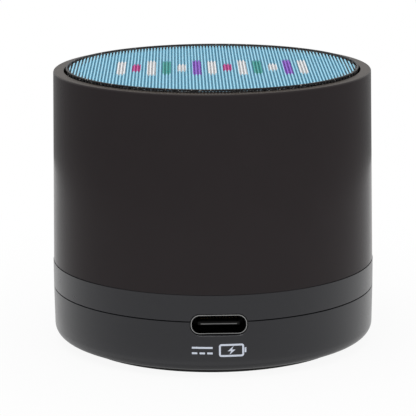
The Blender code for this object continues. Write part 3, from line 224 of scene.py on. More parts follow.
def bar(name, near, far, width, height, corner, segments=6):
    """Block along X between two distances, with its four long edges rounded."""
    deselect()
    bpy.ops.mesh.primitive_cube_add(
        size=1, location=((near + far) / 2, 0, 0), scale=(far - near, width, height),
    )
    piece = placed(name)
    open_mesh(piece)
    pick(piece, edges=lambda edge: abs(edge.verts[0].co.x - edge.verts[1].co.x) > (far - near) / 2)
    bpy.ops.mesh.bevel(offset=corner, segments=segments, affect='EDGES')
    close_mesh()
    return piece


def rod(name, near, far, radius, sides=32):
    """Round bar along X between two distances."""
    deselect()
    bpy.ops.mesh.primitive_cylinder_add(
        vertices=sides, radius=radius, depth=far - near,
        location=((near + far) / 2, 0, 0), rotation=(0, math.pi / 2, 0),
    )
    return placed(name)


def post(name, bearing, low, high, radius, sides=32):
    """Upright round bar on the circle of the screws."""
    deselect()
    bpy.ops.mesh.primitive_cylinder_add(
        vertices=sides, radius=radius, depth=high - low,
        location=(SCREW_CIRCLE, 0, (low + high) / 2),
    )
    return swung(placed(name), bearing)


def joined(pieces):
    """Join pieces into the first one."""
    only(pieces[0])
    for piece in pieces:
        piece.select_set(True)
    bpy.ops.object.join()
    return pieces[0]


def combined(piece, tool, operation):
    """Cut a tool out of a piece or fuse it with the piece, and remove the tool."""
    applied(piece, 'BOOLEAN', object=tool, operation=operation, solver='EXACT')
    bpy.data.objects.remove(tool)
    return piece


def bowed(piece, radius, front):
    """Bend the front of a piece that faces X to a circle of a radius round Z."""
    for vertex in piece.data.vertices:
        if vertex.co.x > front:
            vertex.co.x += math.sqrt(radius ** 2 - vertex.co.y ** 2) - radius
    return piece


def sliced(piece, step, half_width, axis=(0, 1, 0)):
    """Divide a piece by planes along an axis, so that its faces can follow a curve."""
    open_mesh(piece)
    count = int(half_width / step)
    for number in range(-count, count + 1):
        bpy.ops.mesh.select_all(action='SELECT')
        bpy.ops.mesh.bisect(plane_co=Vector(axis) * (number * step), plane_no=axis)
    close_mesh()
    return piece


def opening(node, bearing, width, height, corner, segments=6):
    """Cutter for one opening, which flares in a curve where it meets the outer face of the wall."""
    far = BASE_RADIUS - OPENING_FLARE
    piece = bar("opening", CUTTER_NEAR, far, width, height, corner, segments)
    open_mesh(piece)
    pick(piece, faces=lambda face: face.normal.x > 0.9)
    grown = 0.0
    for reach, spread in FLARE_CURVE:
        step = BASE_RADIUS - OPENING_FLARE + reach * OPENING_FLARE - far
        bpy.ops.mesh.extrude_region_move(TRANSFORM_OT_translate={"value": (step, 0, 0)})
        wider = 2 * spread * OPENING_FLARE
        scale = (1, (width + wider) / (width + grown), (height + wider) / (height + grown))
        bpy.ops.transform.resize(value=scale, center_override=(0, 0, 0))
        far, grown = far + step, wider
    close_mesh()
    bowed(sliced(piece, 0.4 * MM, width / 2), BASE_RADIUS, BASE_RADIUS - 1.1 * OPENING_FLARE)
    return swung(piece, bearing, middle_level(node))


def wall_openings():
    """Cutter for every opening that the two mouldings share along their parting line."""
    shapes = [opening("usb_shell", PORT_BEARING, *PORT_OPENING, segments=10)]
    for node, bearing in KEY_BEARINGS.items():
        shapes.append(opening(node, bearing, *KEY_OPENING))
    shapes.append(opening("switch_knob", SWITCH_BEARING, *KNOB_OPENING))
    far = BASE_RADIUS + 1.0 * MM
    lens_hole = rod("opening", CUTTER_NEAR, far, LENS_HOLE_RADIUS)
    shapes.append(swung(lens_hole, LENS_BEARING, middle_level("indicator_lens")))
    pinhole = rod("opening", CUTTER_NEAR, far, PINHOLE_RADIUS)
    shapes.append(swung(pinhole, PINHOLE_BEARING, middle_level("microphone")))
    return joined(shapes)


class Signal:
    """An output of a material's nodes. Operators add Math nodes, and node() adds any other."""

    def __init__(self, tree, output):
        self.tree = tree
        self.output = output

    def node(self, kind, settings, inputs, output=0):
        """Add a node: first its settings, then a value or a link for each socket named."""
        made = self.tree.nodes.new("ShaderNode" + kind)
        for name, value in settings.items():
            if name == "stops":
                ramp = made.color_ramp
                while len(ramp.elements) < len(value):
                    ramp.elements.new(1.0)
                for element, (place, colour) in zip(ramp.elements, value):
                    element.position = place
                    element.color = (*colour, 1.0)
            elif name == "interpolation":
                made.color_ramp.interpolation = value
            else:
                setattr(made, name, value)
        for name, value in inputs.items():
            if isinstance(value, Signal):
                self.tree.links.new(value.output, made.inputs[name])
            else:
                made.inputs[name].default_value = value
        return Signal(self.tree, made.outputs[output])

    def maths(self, operation, first, second=0.0):
        """Math node of one or two values."""
        return self.node("Math", {"operation": operation}, {0: first, 1: second})

    def __add__(self, other):
        return self.maths('ADD', self, other)

    def __sub__(self, other):
        return self.maths('SUBTRACT', self, other)

    def __rsub__(self, other):
        return self.maths('SUBTRACT', other, self)

    def __mul__(self, other):
        return self.maths('MULTIPLY', self, other)

    def __lt__(self, other):
        return self.maths('LESS_THAN', self, other)

    def __gt__(self, other):
        return self.maths('GREATER_THAN', self, other)

    def __abs__(self):
        return self.maths('ABSOLUTE', self)

    __radd__ = __add__
    __rmul__ = __mul__

    def mix(self, first, second):
        """Colour between two others, by this signal."""
        return self.node("Mix", {"data_type": 'RGBA'}, {0: self, 6: first, 7: second}, 2)

    def ramped(self, start, end, low=0.0, high=1.0):
        """Smooth step of this value, from low where it is at the start to high at the end."""
        return self.node("MapRange", {"interpolation_type": 'SMOOTHSTEP'}, {
            "Value": self, "From Min": start, "From Max": end, "To Min": low, "To Max": high,
        })

    def noise(self, scale, detail=2.0):
        """Noise over this signal's coordinates, as a value."""
        return self.node("TexNoise", {}, {"Vector": self, "Scale": scale, "Detail": detail})

    def parts(self):
        """The three numbers of this vector."""
        split = self.tree.nodes.new("ShaderNodeSeparateXYZ")
        self.tree.links.new(self.output, split.inputs[0])
        return [Signal(self.tree, output) for output in split.outputs]


def finish(name, **constants):
    """New material: the material itself, its shader, and its Object coordinates."""
    material = bpy.data.materials.new(name)
    material.use_nodes = True
    tree = material.node_tree
    shader = tree.nodes["Principled BSDF"]
    for socket, value in constants.items():
        shader.inputs[socket.replace("_", " ")].default_value = value
    coordinates = tree.nodes.new("ShaderNodeTexCoord")
    return material, shader, Signal(tree, coordinates.outputs["Object"])


def feed(shader, **signals):
    """Link signals to the shader's sockets."""
    for socket, signal in signals.items():
        signal.tree.links.new(signal.output, shader.inputs[socket.replace("_", " ")])


def relief(height, strength, depth):
    """Normal of a surface with a relief of that depth."""
    return height.node("Bump", {}, {"Strength": strength, "Distance": depth, "Height": height})


def tinted(colour, share):
    """A colour made lighter or darker by a share of itself."""
    return (*(min(1.0, part * share) for part in colour), 1.0)


def grained(name, colour, roughness, grain=6000, depth=0.01, mottle=0.12, uneven=0.08, **constants):
    """Plain finish with a fine grain in relief, a faint mottle of colour and uneven gloss."""
    material, shader, place = finish(name, **constants)
    cloud = place.noise(170, 3)
    feed(
        shader,
        Base_Color=cloud.mix(tinted(colour, 1 - mottle), tinted(colour, 1 + mottle)),
        Roughness=place.noise(420, 3) * uneven + (roughness - uneven / 2),
        Normal=relief(place.noise(grain, 2), 0.35, depth * MM),
    )
    return material


def coated(piece, material):
    """Give a piece one material."""
    piece.data.materials.clear()
    piece.data.materials.append(material)


def dressed(piece, material, body, slot, *nodes):
    """Give a finished piece its material, its body and the CAD nodes it stands for; the slot is not
    used.
    """
    coated(piece, material)
    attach(piece, body)
    if nodes:
        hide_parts(*nodes)


base_plastic = grained(
    "base_plastic", BASE_BLACK, 0.26, grain=5200, depth=0.008, mottle=0.08, uneven=0.06,
    Specular_IOR_Level=0.5,
)
cover_profile = (
    [(EYE_RADIUS, RECESS_TOP), (RECESS_RADIUS, RECESS_TOP), (RECESS_RADIUS, COVER_UNDERSIDE)]
    + arc(
        (BASE_RADIUS - COVER_DRAFT - COVER_FILLET, COVER_UNDERSIDE + COVER_FILLET),
        COVER_FILLET, -90, 0, 12,
    )
    + [
        (BASE_RADIUS, PARTING - SEAM),
        (LAP_OUTER, PARTING - SEAM),
        (LAP_OUTER, COVER_LAP_TOP),
        (BASE_INNER, COVER_LAP_TOP),
        (BASE_INNER, FLOOR_TOP),
        (EYE_RADIUS, FLOOR_TOP),
    ]
)
cover = eased(turned("cover_moulding", cover_profile, CASE_SIDES, closed=False), 0.1 * MM)
for bearing in SCREW_BEARINGS:
    pillar_top = BOARD_UNDERSIDE - BOARD_SEAT
    pillar = post("pillar", bearing, RECESS_TOP + TOOL_PAST, pillar_top, PILLAR_RADIUS)
    combined(cover, pillar, 'UNION')
    bore_top = RECESS_TOP + HEAD_BORE_DEPTH
    head_bore = post("head_bore", bearing, RECESS_TOP - TOOL_PAST, bore_top, HEAD_BORE_RADIUS)
    combined(cover, head_bore, 'DIFFERENCE')
    shank_hole = post("shank_hole", bearing, RECESS_TOP, BOARD_UNDERSIDE + TOOL_PAST, SHANK_HOLE_RADIUS)
    combined(cover, shank_hole, 'DIFFERENCE')
combined(cover, wall_openings(), 'DIFFERENCE')
dressed(smoothed(cover), base_plastic, "casing", "base_plastic", "bottom_cover")


# Circuit board and the parts soldered on it. Glass-epoxy laminate with copper traces under green
# lacquer, black epoxy packages, tinned cans and a ferrite core, clamped by the three screws.
board_green, shader, place = finish("board_green", Specular_IOR_Level=0.5)
trace = place.node("TexBrick", {"offset": 0.35}, {
    "Vector": place, "Scale": 620.0, "Mortar Size": 0.03, "Brick Width": 1.4, "Row Height": 0.6,
    "Color1": (0.010, 0.060, 0.026, 1), "Color2": (0.012, 0.070, 0.030, 1),
    "Mortar": (0.020, 0.105, 0.048, 1),
})
feed(
    shader,
    Base_Color=trace,
    Roughness=place.noise(900, 2) * 0.12 + 0.3,
    Normal=relief(place.noise(3000, 2), 0.2, 0.02 * MM),
)
package_black = grained("package_black", (0.012, 0.012, 0.013), 0.5, grain=9000, depth=0.01)
tinned = grained("tinned", (0.62, 0.62, 0.60), 0.34, grain=2600, depth=0.012, uneven=0.16, Metallic=1.0)
ferrite_grey = grained("ferrite_grey", (0.05, 0.05, 0.052), 0.62, grain=3400, depth=0.02)


def painted(material, *nodes):
    """Give CAD nodes, whose shapes stay, a finer material."""
    for node in nodes:
        coated(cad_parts[node], material)


painted(board_green, "circuit_board")
painted(package_black, "bluetooth_chip", "amplifier_chip")
painted(tinned, "crystal", "capacitor", "microphone")
painted(ferrite_grey, "inductor")


# Screws of the base. Pan-head screws of zinc-plated steel, formed from wire, with rolled threads.
# They go up through the posts of the cover and the board, and bite into the bosses of the band.
THREAD_PITCH = 0.8 * MM
screw_steel, shader, place = finish("screw_steel", Metallic=1.0)
thread = place.maths('SINE', place.parts()[2] * (math.tau / THREAD_PITCH))
feed(
    shader,
    Base_Color=place.noise(800, 2).mix((0.42, 0.42, 0.41, 1), (0.60, 0.60, 0.58, 1)),
    Roughness=place.noise(2000, 2) * 0.2 + 0.25,
    Normal=relief(thread, 0.6, 0.15 * MM),
)
painted(screw_steel, "base_screw_1", "base_screw_2", "base_screw_3")


# Charging socket. A shell drawn from bright nickel-plated steel, soldered to the board, round a
# black moulded tongue with gold-plated contacts along both its faces and a steel plate in its middle.
SHELL_LEVEL = middle_level("usb_shell")
SHELL_MOUTH = -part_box("usb_shell")[0].y
SHELL_BACK = -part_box("usb_shell")[1].y
SHELL_SHEET = 0.17 * MM
SHELL_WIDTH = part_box("usb_shell")[1].x * 2
SHELL_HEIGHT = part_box("usb_shell")[1].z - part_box("usb_shell")[0].z
SHELL_CORNER = 1.45 * MM
UNSHADED_DEPTH = 0.4 * MM
shell = bar("socket_shell", SHELL_BACK, SHELL_MOUTH, SHELL_WIDTH, SHELL_HEIGHT, SHELL_CORNER, 12)
open_mesh(shell)
pick(shell, faces=lambda face: face.normal.x > 0.9)
bpy.ops.mesh.inset(thickness=SHELL_SHEET)
depth = SHELL_MOUTH - SHELL_BACK - SHELL_SHEET
bpy.ops.mesh.extrude_region_move(TRANSFORM_OT_translate={"value": (-depth, 0, 0)})
close_mesh()
eased(shell, 0.06 * MM, 40)
swung(smoothed(shell), PORT_BEARING, SHELL_LEVEL)

socket_steel, shader, place = finish("socket_steel", Metallic=1.0)
# Deeper in than a little way from its mouth, the shell's steel is painted near black: painted shade
# inside the socket.
inside = place.parts()[1] > UNSHADED_DEPTH - SHELL_MOUTH
bright_steel = place.noise(700, 2).mix((0.26, 0.26, 0.26, 1), (0.36, 0.36, 0.355, 1))
feed(
    shader,
    Base_Color=inside.mix(bright_steel, (0.03, 0.03, 0.03, 1)),
    Roughness=place.noise(1500, 3) * 0.16 + 0.16,
    Normal=relief(place.noise(2400, 2), 0.12, 0.02 * MM),
)
dressed(shell, socket_steel, "casing", "socket_steel", "usb_shell")

TONGUE_FRONT = -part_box("usb_tongue")[0].y
INSULATOR_BACK = -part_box("usb_tongue")[1].y
INSULATOR_FRONT = INSULATOR_BACK + 2.6 * MM
INSULATOR_SECTION = (8.2 * MM, 2.4 * MM, 1.05 * MM)
BLADE_SECTION = (6.69 * MM, 0.66 * MM, 0.1 * MM)
BLADE_CHAMFER = 0.19 * MM
insulator = bar("socket_tongue", INSULATOR_BACK, INSULATOR_FRONT, *INSULATOR_SECTION, segments=8)
blade = bar("blade", INSULATOR_FRONT - 0.2 * MM, TONGUE_FRONT, *BLADE_SECTION, segments=2)
eased(blade, BLADE_CHAMFER, 60, 1)
tongue = swung(smoothed(joined([insulator, blade])), PORT_BEARING, SHELL_LEVEL)
tongue_black = grained(
    "tongue_black", (0.005, 0.005, 0.005), 0.6, grain=7000, depth=0.008, Specular_IOR_Level=0.12,
)
dressed(tongue, tongue_black, "casing", "black_plastic", "usb_tongue")

CONTACTS = 12
CONTACT_PITCH = 0.5 * MM
CONTACT_SECTION = (0.25 * MM, 0.04 * MM, 0.008 * MM)
CONTACT_FRONT = TONGUE_FRONT - 1.9 * MM
CONTACT_LIFT = 0.335 * MM
pads = []
for number in range(CONTACTS):
    for side in (-1, 1):
        pad = bar("pad", INSULATOR_FRONT, CONTACT_FRONT, *CONTACT_SECTION, segments=1)
        pad.location.y = (number - (CONTACTS - 1) / 2) * CONTACT_PITCH
        pad.location.z = side * CONTACT_LIFT
        pads.append(swung(pad, 0.0))
contacts = joined(pads)
contacts.name = "socket_contacts"
swung(contacts, PORT_BEARING, SHELL_LEVEL)
gold = grained("contact_gold", (0.34, 0.23, 0.09), 0.3, grain=5000, depth=0.004, Metallic=1.0)
dressed(contacts, gold, "casing", "socket_steel")

PLATE_SECTION = (5.75 * MM, 0.15 * MM, 0.04 * MM)
PLATE_PLACE = (0.02 * MM, 0, -0.07 * MM)
plate = bar("tongue_plate", INSULATOR_FRONT, TONGUE_FRONT, *PLATE_SECTION, segments=2)
eased(plate, 0.03 * MM, 60)
plate.location = PLATE_PLACE
swung(smoothed(plate), 0.0)
swung(plate, PORT_BEARING, SHELL_LEVEL)
dull_plate = grained("dull_plate", (0.21, 0.21, 0.21), 0.4, grain=4000, depth=0.006, Metallic=1.0)
dressed(plate, dull_plate, "casing", "socket_steel")


# Push keys. Caps of the base's own plastic, each held behind the wall by a flange and pushed out
# by its tact switch, with a symbol printed in pale grey ink on the bowed face.
KEY_WIDTH, KEY_HEIGHT, KEY_CORNER = 6.4 * MM, 3.4 * MM, 1.2 * MM
KEY_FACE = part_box("key_play")[1].y
KEY_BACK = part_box("key_play")[0].y
INK_LIFT = 0.03 * MM
FLANGE_FRONT = BASE_INNER - 0.2 * MM
FLANGE_MARGIN = 0.6 * MM
FLANGE_CORNER = 1.5 * MM
FLANGE_SHEET = 0.7 * MM
NIB_SECTION = (2.0 * MM, 1.2 * MM, 0.3 * MM)
SYMBOL_HALF = 0.62 * MM
SYMBOL_TIP = 0.02 * MM
KEY_BODIES = {"key_previous": "previous_key", "key_play": "play_key", "key_next": "next_key"}
key_plastic = grained(
    "key_plastic", (0.013, 0.013, 0.014), 0.38, grain=5200, depth=0.008, mottle=0.08, uneven=0.06,
)
key_ink = grained("key_ink", (0.62, 0.64, 0.68), 0.5, grain=9000, depth=0.004, mottle=0.06)


def key_symbol(name, shapes):
    """Flat symbol of triangles and bars, each given by its kind and its two ends in millimetres."""
    pieces = []
    for kind, left, right in shapes:
        deselect()
        bpy.ops.mesh.primitive_plane_add(size=1)
        mark = bpy.context.object
        left_half = SYMBOL_TIP if kind == "back" else SYMBOL_HALF
        right_half = SYMBOL_TIP if kind == "forward" else SYMBOL_HALF
        corners = [(left, -left_half), (right, -right_half), (right, right_half), (left, left_half)]
        for vertex, (side, height) in zip((0, 1, 3, 2), corners):
            mark.data.vertices[vertex].co = (KEY_FACE - INK_LIFT, side * MM, height)
        pieces.append(mark)
    symbol = joined(pieces)
    symbol.name = name
    sliced(symbol, 0.3 * MM, 2.4 * MM)
    applied(symbol, 'SOLIDIFY', thickness=INK_LIFT, offset=1)
    return bowed(symbol, KEY_FACE, 0.0)


KEY_SYMBOLS = {
    "key_previous": [("bar", -1.25, -1.0), ("back", -0.95, 0.1), ("back", 0.15, 1.2)],
    "key_play": [("forward", -1.2, 0.05), ("bar", 0.4, 0.68), ("bar", 0.95, 1.23)],
    "key_next": [("forward", -1.2, -0.15), ("forward", -0.1, 0.95), ("bar", 1.0, 1.25)],
}
for node, bearing in KEY_BEARINGS.items():
    level = middle_level(node)
    flange_half = KEY_WIDTH / 2 + FLANGE_MARGIN
    flange_back = math.sqrt(FLANGE_FRONT ** 2 - flange_half ** 2) - FLANGE_SHEET
    flange_height = KEY_HEIGHT + 2 * FLANGE_MARGIN
    cap = bar("cap", flange_back, KEY_FACE - INK_LIFT, KEY_WIDTH, KEY_HEIGHT, KEY_CORNER)
    flange = bar("flange", flange_back, FLANGE_FRONT, 2 * flange_half, flange_height, FLANGE_CORNER)
    nib = bar("nib", KEY_BACK, flange_back + 0.1 * MM, *NIB_SECTION, segments=2)
    bowed(sliced(cap, 0.4 * MM, KEY_WIDTH / 2), KEY_FACE, FLANGE_FRONT)
    bowed(sliced(flange, 0.6 * MM, flange_half), FLANGE_FRONT, FLANGE_FRONT - 0.1 * MM)
    eased(cap, 0.25 * MM, 50, 3)
    key = smoothed(joined([cap, flange, nib]))
    key.name = node + "_cap"
    body = KEY_BODIES[node]
    dressed(swung(key, bearing, level), key_plastic, body, "base_plastic", node)
    symbol = key_symbol(node + "_symbol", KEY_SYMBOLS[node])
    dressed(swung(symbol, bearing, level), key_ink, body, "base_plastic")

switch_tin = grained("switch_tin", (0.55, 0.55, 0.53), 0.38, grain=2200, depth=0.02, Metallic=1.0)
plunger_black = grained("plunger_black", (0.012, 0.012, 0.012), 0.5, grain=6500, depth=0.01)
for use in ("previous", "play", "next"):
    painted(switch_tin, "key_switch_" + use)
    painted(plunger_black, "key_plunger_" + use)


# On/off switch. A knob of the base's plastic with four finger ridges slides in a slot and grips
# the lever of a slide switch that is soldered on the board.
KNOB_LEVEL = middle_level("switch_knob")
KNOB_FACE = BASE_RADIUS + 0.7 * MM
KNOB_SHIFT = -1.0 * MM
KNOB_SECTION = (3.0 * MM, 2.2 * MM, 0.5 * MM)
KNOB_FLANGE_SECTION = (8.4 * MM, 3.6 * MM, 0.5 * MM)
KNOB_FLANGE_REACH, KNOB_FLANGE_SHEET = 5.2 * MM, 1.2 * MM
KNOB_FLANGE_FRONT = math.sqrt(FLANGE_FRONT ** 2 - KNOB_FLANGE_REACH ** 2)
RIDGES, RIDGE_PITCH = 4, 0.72 * MM
GROOVE_DEPTH = 0.35 * MM
GROOVE_SECTION = (0.34 * MM, 4.0 * MM, 0.1 * MM)
knob = bar("switch_knob_cap", KNOB_FLANGE_FRONT - 0.2 * MM, KNOB_FACE, *KNOB_SECTION)
eased(knob, 0.16 * MM, 50, 2)
grooves = []
for number in range(RIDGES - 1):
    groove = bar("groove", KNOB_FACE - GROOVE_DEPTH, KNOB_FACE + 1.0 * MM, *GROOVE_SECTION, segments=2)
    groove.location.y = (number - (RIDGES - 2) / 2) * RIDGE_PITCH
    grooves.append(swung(groove, 0.0))
combined(knob, joined(grooves), 'DIFFERENCE')
flange_back = KNOB_FLANGE_FRONT - KNOB_FLANGE_SHEET
knob_flange = bar("flange", flange_back, KNOB_FLANGE_FRONT, *KNOB_FLANGE_SECTION, segments=3)
knob = smoothed(joined([knob, knob_flange]))
knob.location.y = KNOB_SHIFT
swung(swung(knob, 0.0), SWITCH_BEARING, KNOB_LEVEL)
dressed(knob, key_plastic, "power_switch", "base_plastic", "switch_knob")
painted(plunger_black, "slide_switch_lever")
painted(switch_tin, "slide_switch_body")


# Status light. A pipe of clear acrylic with a polished, slightly domed end and a collar behind the
# wall, lit by a small LED that stands on the board.
LENS_LEVEL = middle_level("indicator_lens")
LENS_RADIUS = 0.8 * MM
LENS_BACK, LENS_FRONT = BASE_RADIUS - 4.0 * MM, BASE_RADIUS - 0.12 * MM
LENS_DOME = ((0.22 * MM, 0.06 * MM), (0.3 * MM, 0.04 * MM))
COLLAR_RADIUS, COLLAR_DEPTH = LENS_RADIUS + 0.5 * MM, 0.5 * MM
lens = rod("indicator_pipe", LENS_BACK, LENS_FRONT, LENS_RADIUS, 40)
open_mesh(lens)
pick(lens, faces=lambda face: face.normal.x > 0.9)
for inset, rise in LENS_DOME:
    bpy.ops.mesh.inset(thickness=inset)
    bpy.ops.transform.translate(value=(rise, 0, 0))
close_mesh()
collar = rod("collar", FLANGE_FRONT - COLLAR_DEPTH, FLANGE_FRONT, COLLAR_RADIUS, 40)
lens = smoothed(joined([lens, eased(collar, 0.05 * MM)]), 40)
lens_plastic, shader, place = finish("lens_plastic", Transmission_Weight=0.6, IOR=1.49)
feed(
    shader,
    Base_Color=place.noise(900, 2).mix((0.68, 0.74, 0.80, 1), (0.80, 0.85, 0.90, 1)),
    Roughness=place.noise(1800, 2) * 0.1 + 0.08,
    Normal=relief(place.noise(1500, 2), 0.08, 0.01 * MM),
)
swung(lens, LENS_BEARING, LENS_LEVEL)
dressed(lens, lens_plastic, "casing", "lens_plastic", "indicator_lens")
led_resin = grained("led_resin", (0.80, 0.80, 0.72), 0.35, grain=4000, depth=0.006, mottle=0.05)
painted(led_resin, "indicator_led")


# Upper moulding of the base. The band that shows between cover and barrel, with a deck across it,
# a spigot that snaps into the barrel by a bead, and three bosses that the screws bite into.
BAND_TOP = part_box("barrel")[0].z - SEAM
DECK_TOP = BAND_TOP - SEAM
DECK_UNDERSIDE = DECK_TOP - 1.4 * MM
SPIGOT_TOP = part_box("base_ring")[1].z
BARREL_BOTTOM_RADIUS = BASE_RADIUS - 0.08 * MM
BARREL_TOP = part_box("barrel")[1].z
BARREL_DRAFT = 0.49 * MM
BARREL_WALL = 1.78 * MM
BEAD_LEVEL = BAND_TOP + 2.4 * MM
BEAD_REACH = 0.35 * MM
BEAD_HALF = 0.5 * MM
LAP_GAP = 0.15 * MM
SPIGOT_GAP = 0.15 * MM
BOSS_RADIUS = 2.36 * MM
PILOT_RADIUS = 1.06 * MM
LEAD_HOLES = ((18.4 * MM, 0), (0, 16.3 * MM))
LEAD_HOLE_RADIUS = 2.15 * MM


def barrel_radius(level):
    """Outer radius of the barrel, which narrows towards its lip."""
    return BARREL_BOTTOM_RADIUS - BARREL_DRAFT * (level - BAND_TOP) / (BARREL_TOP - BAND_TOP)


def spigot_radius(level):
    """Outer radius of the spigot, which slips into the barrel."""
    return barrel_radius(level) - BARREL_WALL - SPIGOT_GAP


SPIGOT_INNER = spigot_radius(SPIGOT_TOP) - 1.5 * MM
band = turned("base_band", [
    (EYE_RADIUS, DECK_UNDERSIDE),
    (BASE_INNER, DECK_UNDERSIDE),
    (BASE_INNER, COVER_LAP_TOP + LAP_GAP),
    (LAP_OUTER + LAP_GAP, COVER_LAP_TOP + LAP_GAP),
    (LAP_OUTER + LAP_GAP, PARTING + SEAM),
    (BASE_RADIUS, PARTING + SEAM),
    (BASE_RADIUS, DECK_TOP),
    (spigot_radius(DECK_TOP), DECK_TOP),
    (spigot_radius(BEAD_LEVEL - BEAD_HALF), BEAD_LEVEL - BEAD_HALF),
    (spigot_radius(BEAD_LEVEL) + BEAD_REACH, BEAD_LEVEL),
    (spigot_radius(BEAD_LEVEL + BEAD_HALF), BEAD_LEVEL + BEAD_HALF),
    (spigot_radius(SPIGOT_TOP), SPIGOT_TOP),
    (SPIGOT_INNER, SPIGOT_TOP),
    (SPIGOT_INNER, DECK_TOP),
    (EYE_RADIUS, DECK_TOP),
], CASE_SIDES, closed=False)
eased(band, 0.06 * MM)
BOARD_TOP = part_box("circuit_board")[1].z
SCREW_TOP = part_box("base_screw_1")[1].z
for bearing in SCREW_BEARINGS:
    boss = post("boss", bearing, BOARD_TOP + BOARD_SEAT, DECK_UNDERSIDE + TOOL_PAST, BOSS_RADIUS)
    combined(band, boss, 'UNION')
    pilot = post("pilot", bearing, BOARD_TOP - TOOL_PAST, SCREW_TOP + 0.15 * MM, PILOT_RADIUS)
    combined(band, pilot, 'DIFFERENCE')
for lead_hole in LEAD_HOLES:
    deselect()
    bpy.ops.mesh.primitive_cylinder_add(
        vertices=32, radius=LEAD_HOLE_RADIUS, depth=2.0 * MM, location=(*lead_hole, DECK_TOP - 0.7 * MM),
    )
    combined(band, placed("lead_hole"), 'DIFFERENCE')
combined(band, wall_openings(), 'DIFFERENCE')
dressed(smoothed(band), base_plastic, "casing", "base_plastic", "base_ring")


# Battery. A lithium pouch in aluminium laminate on a pad of white foam tape, with red and black
# leads of stranded wire in PVC that run through the deck to the board.
foil, shader, place = finish("cell_foil", Metallic=0.85)
feed(
    shader,
    Base_Color=place.noise(260, 3).mix((0.50, 0.50, 0.49, 1), (0.66, 0.66, 0.65, 1)),
    Roughness=place.noise(1200, 3) * 0.2 + 0.25,
    Normal=relief(place.noise(380, 4), 0.4, 0.08 * MM),
)
painted(foil, "battery_cell")
tape_foam = grained("tape_foam", (0.78, 0.78, 0.76), 0.9, grain=2600, depth=0.06, mottle=0.06)
painted(tape_foam, "battery_tape")
lead_red = grained("lead_red", (0.42, 0.018, 0.015), 0.42, grain=3000, depth=0.012)
lead_black = grained("lead_black", (0.014, 0.014, 0.014), 0.42, grain=3000, depth=0.012)
for start in ("battery", "speaker"):
    painted(lead_red, start + "_lead_red")
    painted(lead_black, start + "_lead_black")


# Barrel. A drafted tube moulded in ABS and sprayed with a brown-black satin paint, with a flat lip round
# its mouth whose top is painted paler as painted light, a baffle inside that carries the driver, and a
# groove that the bead of the base snaps into.
LIP_ROUND = 0.3 * MM
MOUTH_ROUND = 0.13 * MM
BARREL_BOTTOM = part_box("barrel")[0].z - SEAM
BAFFLE_TOP = BARREL_TOP - 5.3 * MM
BAFFLE_UNDERSIDE = BAFFLE_TOP - 1.6 * MM
BAFFLE_RADIUS = 18.7 * MM
GROOVE_HALF = BEAD_HALF + 0.15 * MM
BARREL_BROWN = (0.0272, 0.0228, 0.0238)
LIP_SHEEN_BROWN = (0.046, 0.037, 0.031, 1)
LIP_SHEEN_FROM, LIP_SHEEN_TO = BARREL_TOP - 0.06 * MM, BARREL_TOP - 0.01 * MM
JOINT_SHUT_TO, JOINT_OPEN_FROM, JOINT_DROP = 0.5, 0.85, 0.92


def barrel_bore(level):
    """Inner radius of the barrel."""
    return barrel_radius(level) - BARREL_WALL


lip_middle = (barrel_radius(BARREL_TOP) - LIP_ROUND, BARREL_TOP - LIP_ROUND)
mouth_middle = (barrel_bore(BARREL_TOP) + MOUTH_ROUND, BARREL_TOP - MOUTH_ROUND)
barrel = turned("barrel_shell", [
    (barrel_bore(BARREL_BOTTOM), BARREL_BOTTOM),
    (barrel_radius(BARREL_BOTTOM), BARREL_BOTTOM),
] + arc(lip_middle, LIP_ROUND, 0, 90, 8) + arc(mouth_middle, MOUTH_ROUND, 90, 180, 6) + [
    (barrel_bore(BAFFLE_TOP), BAFFLE_TOP),
    (BAFFLE_RADIUS, BAFFLE_TOP),
    (BAFFLE_RADIUS, BAFFLE_UNDERSIDE),
    (barrel_bore(BAFFLE_UNDERSIDE), BAFFLE_UNDERSIDE),
    (barrel_bore(BEAD_LEVEL + GROOVE_HALF), BEAD_LEVEL + GROOVE_HALF),
    (barrel_bore(BEAD_LEVEL) + BEAD_REACH, BEAD_LEVEL),
    (barrel_bore(BEAD_LEVEL - GROOVE_HALF), BEAD_LEVEL - GROOVE_HALF),
], CASE_SIDES)
eased(barrel, 0.05 * MM, 40)
# The joint over the base is closed at the front of the speaker and opens a little towards the sides.
for vertex in barrel.data.vertices:
    if vertex.co.z < BARREL_BOTTOM + 0.1 * MM:
        aside = abs(vertex.co.x) / BASE_RADIUS if vertex.co.y < 0 else 1.0
        share = min(1.0, max(0.0, (aside - JOINT_SHUT_TO) / (JOINT_OPEN_FROM - JOINT_SHUT_TO)))
        vertex.co.z += (share - JOINT_DROP) * SEAM
barrel_paint, shader, place = finish("barrel_paint", Specular_IOR_Level=0.07)
# The top of the lip is painted paler: painted light, where it faces the light from above.
lip = place.parts()[2].ramped(LIP_SHEEN_FROM, LIP_SHEEN_TO)
paint = place.noise(170, 3).mix(tinted(BARREL_BROWN, 0.95), tinted(BARREL_BROWN, 1.05))
feed(
    shader,
    Base_Color=lip.mix(paint, LIP_SHEEN_BROWN),
    Roughness=place.noise(420, 3) * 0.05 + lip * 0.15 + 0.175,
    Normal=relief(place.noise(4200, 2), 0.35, 0.006 * MM),
)
dressed(smoothed(barrel), barrel_paint, "casing", "barrel_paint", "barrel")


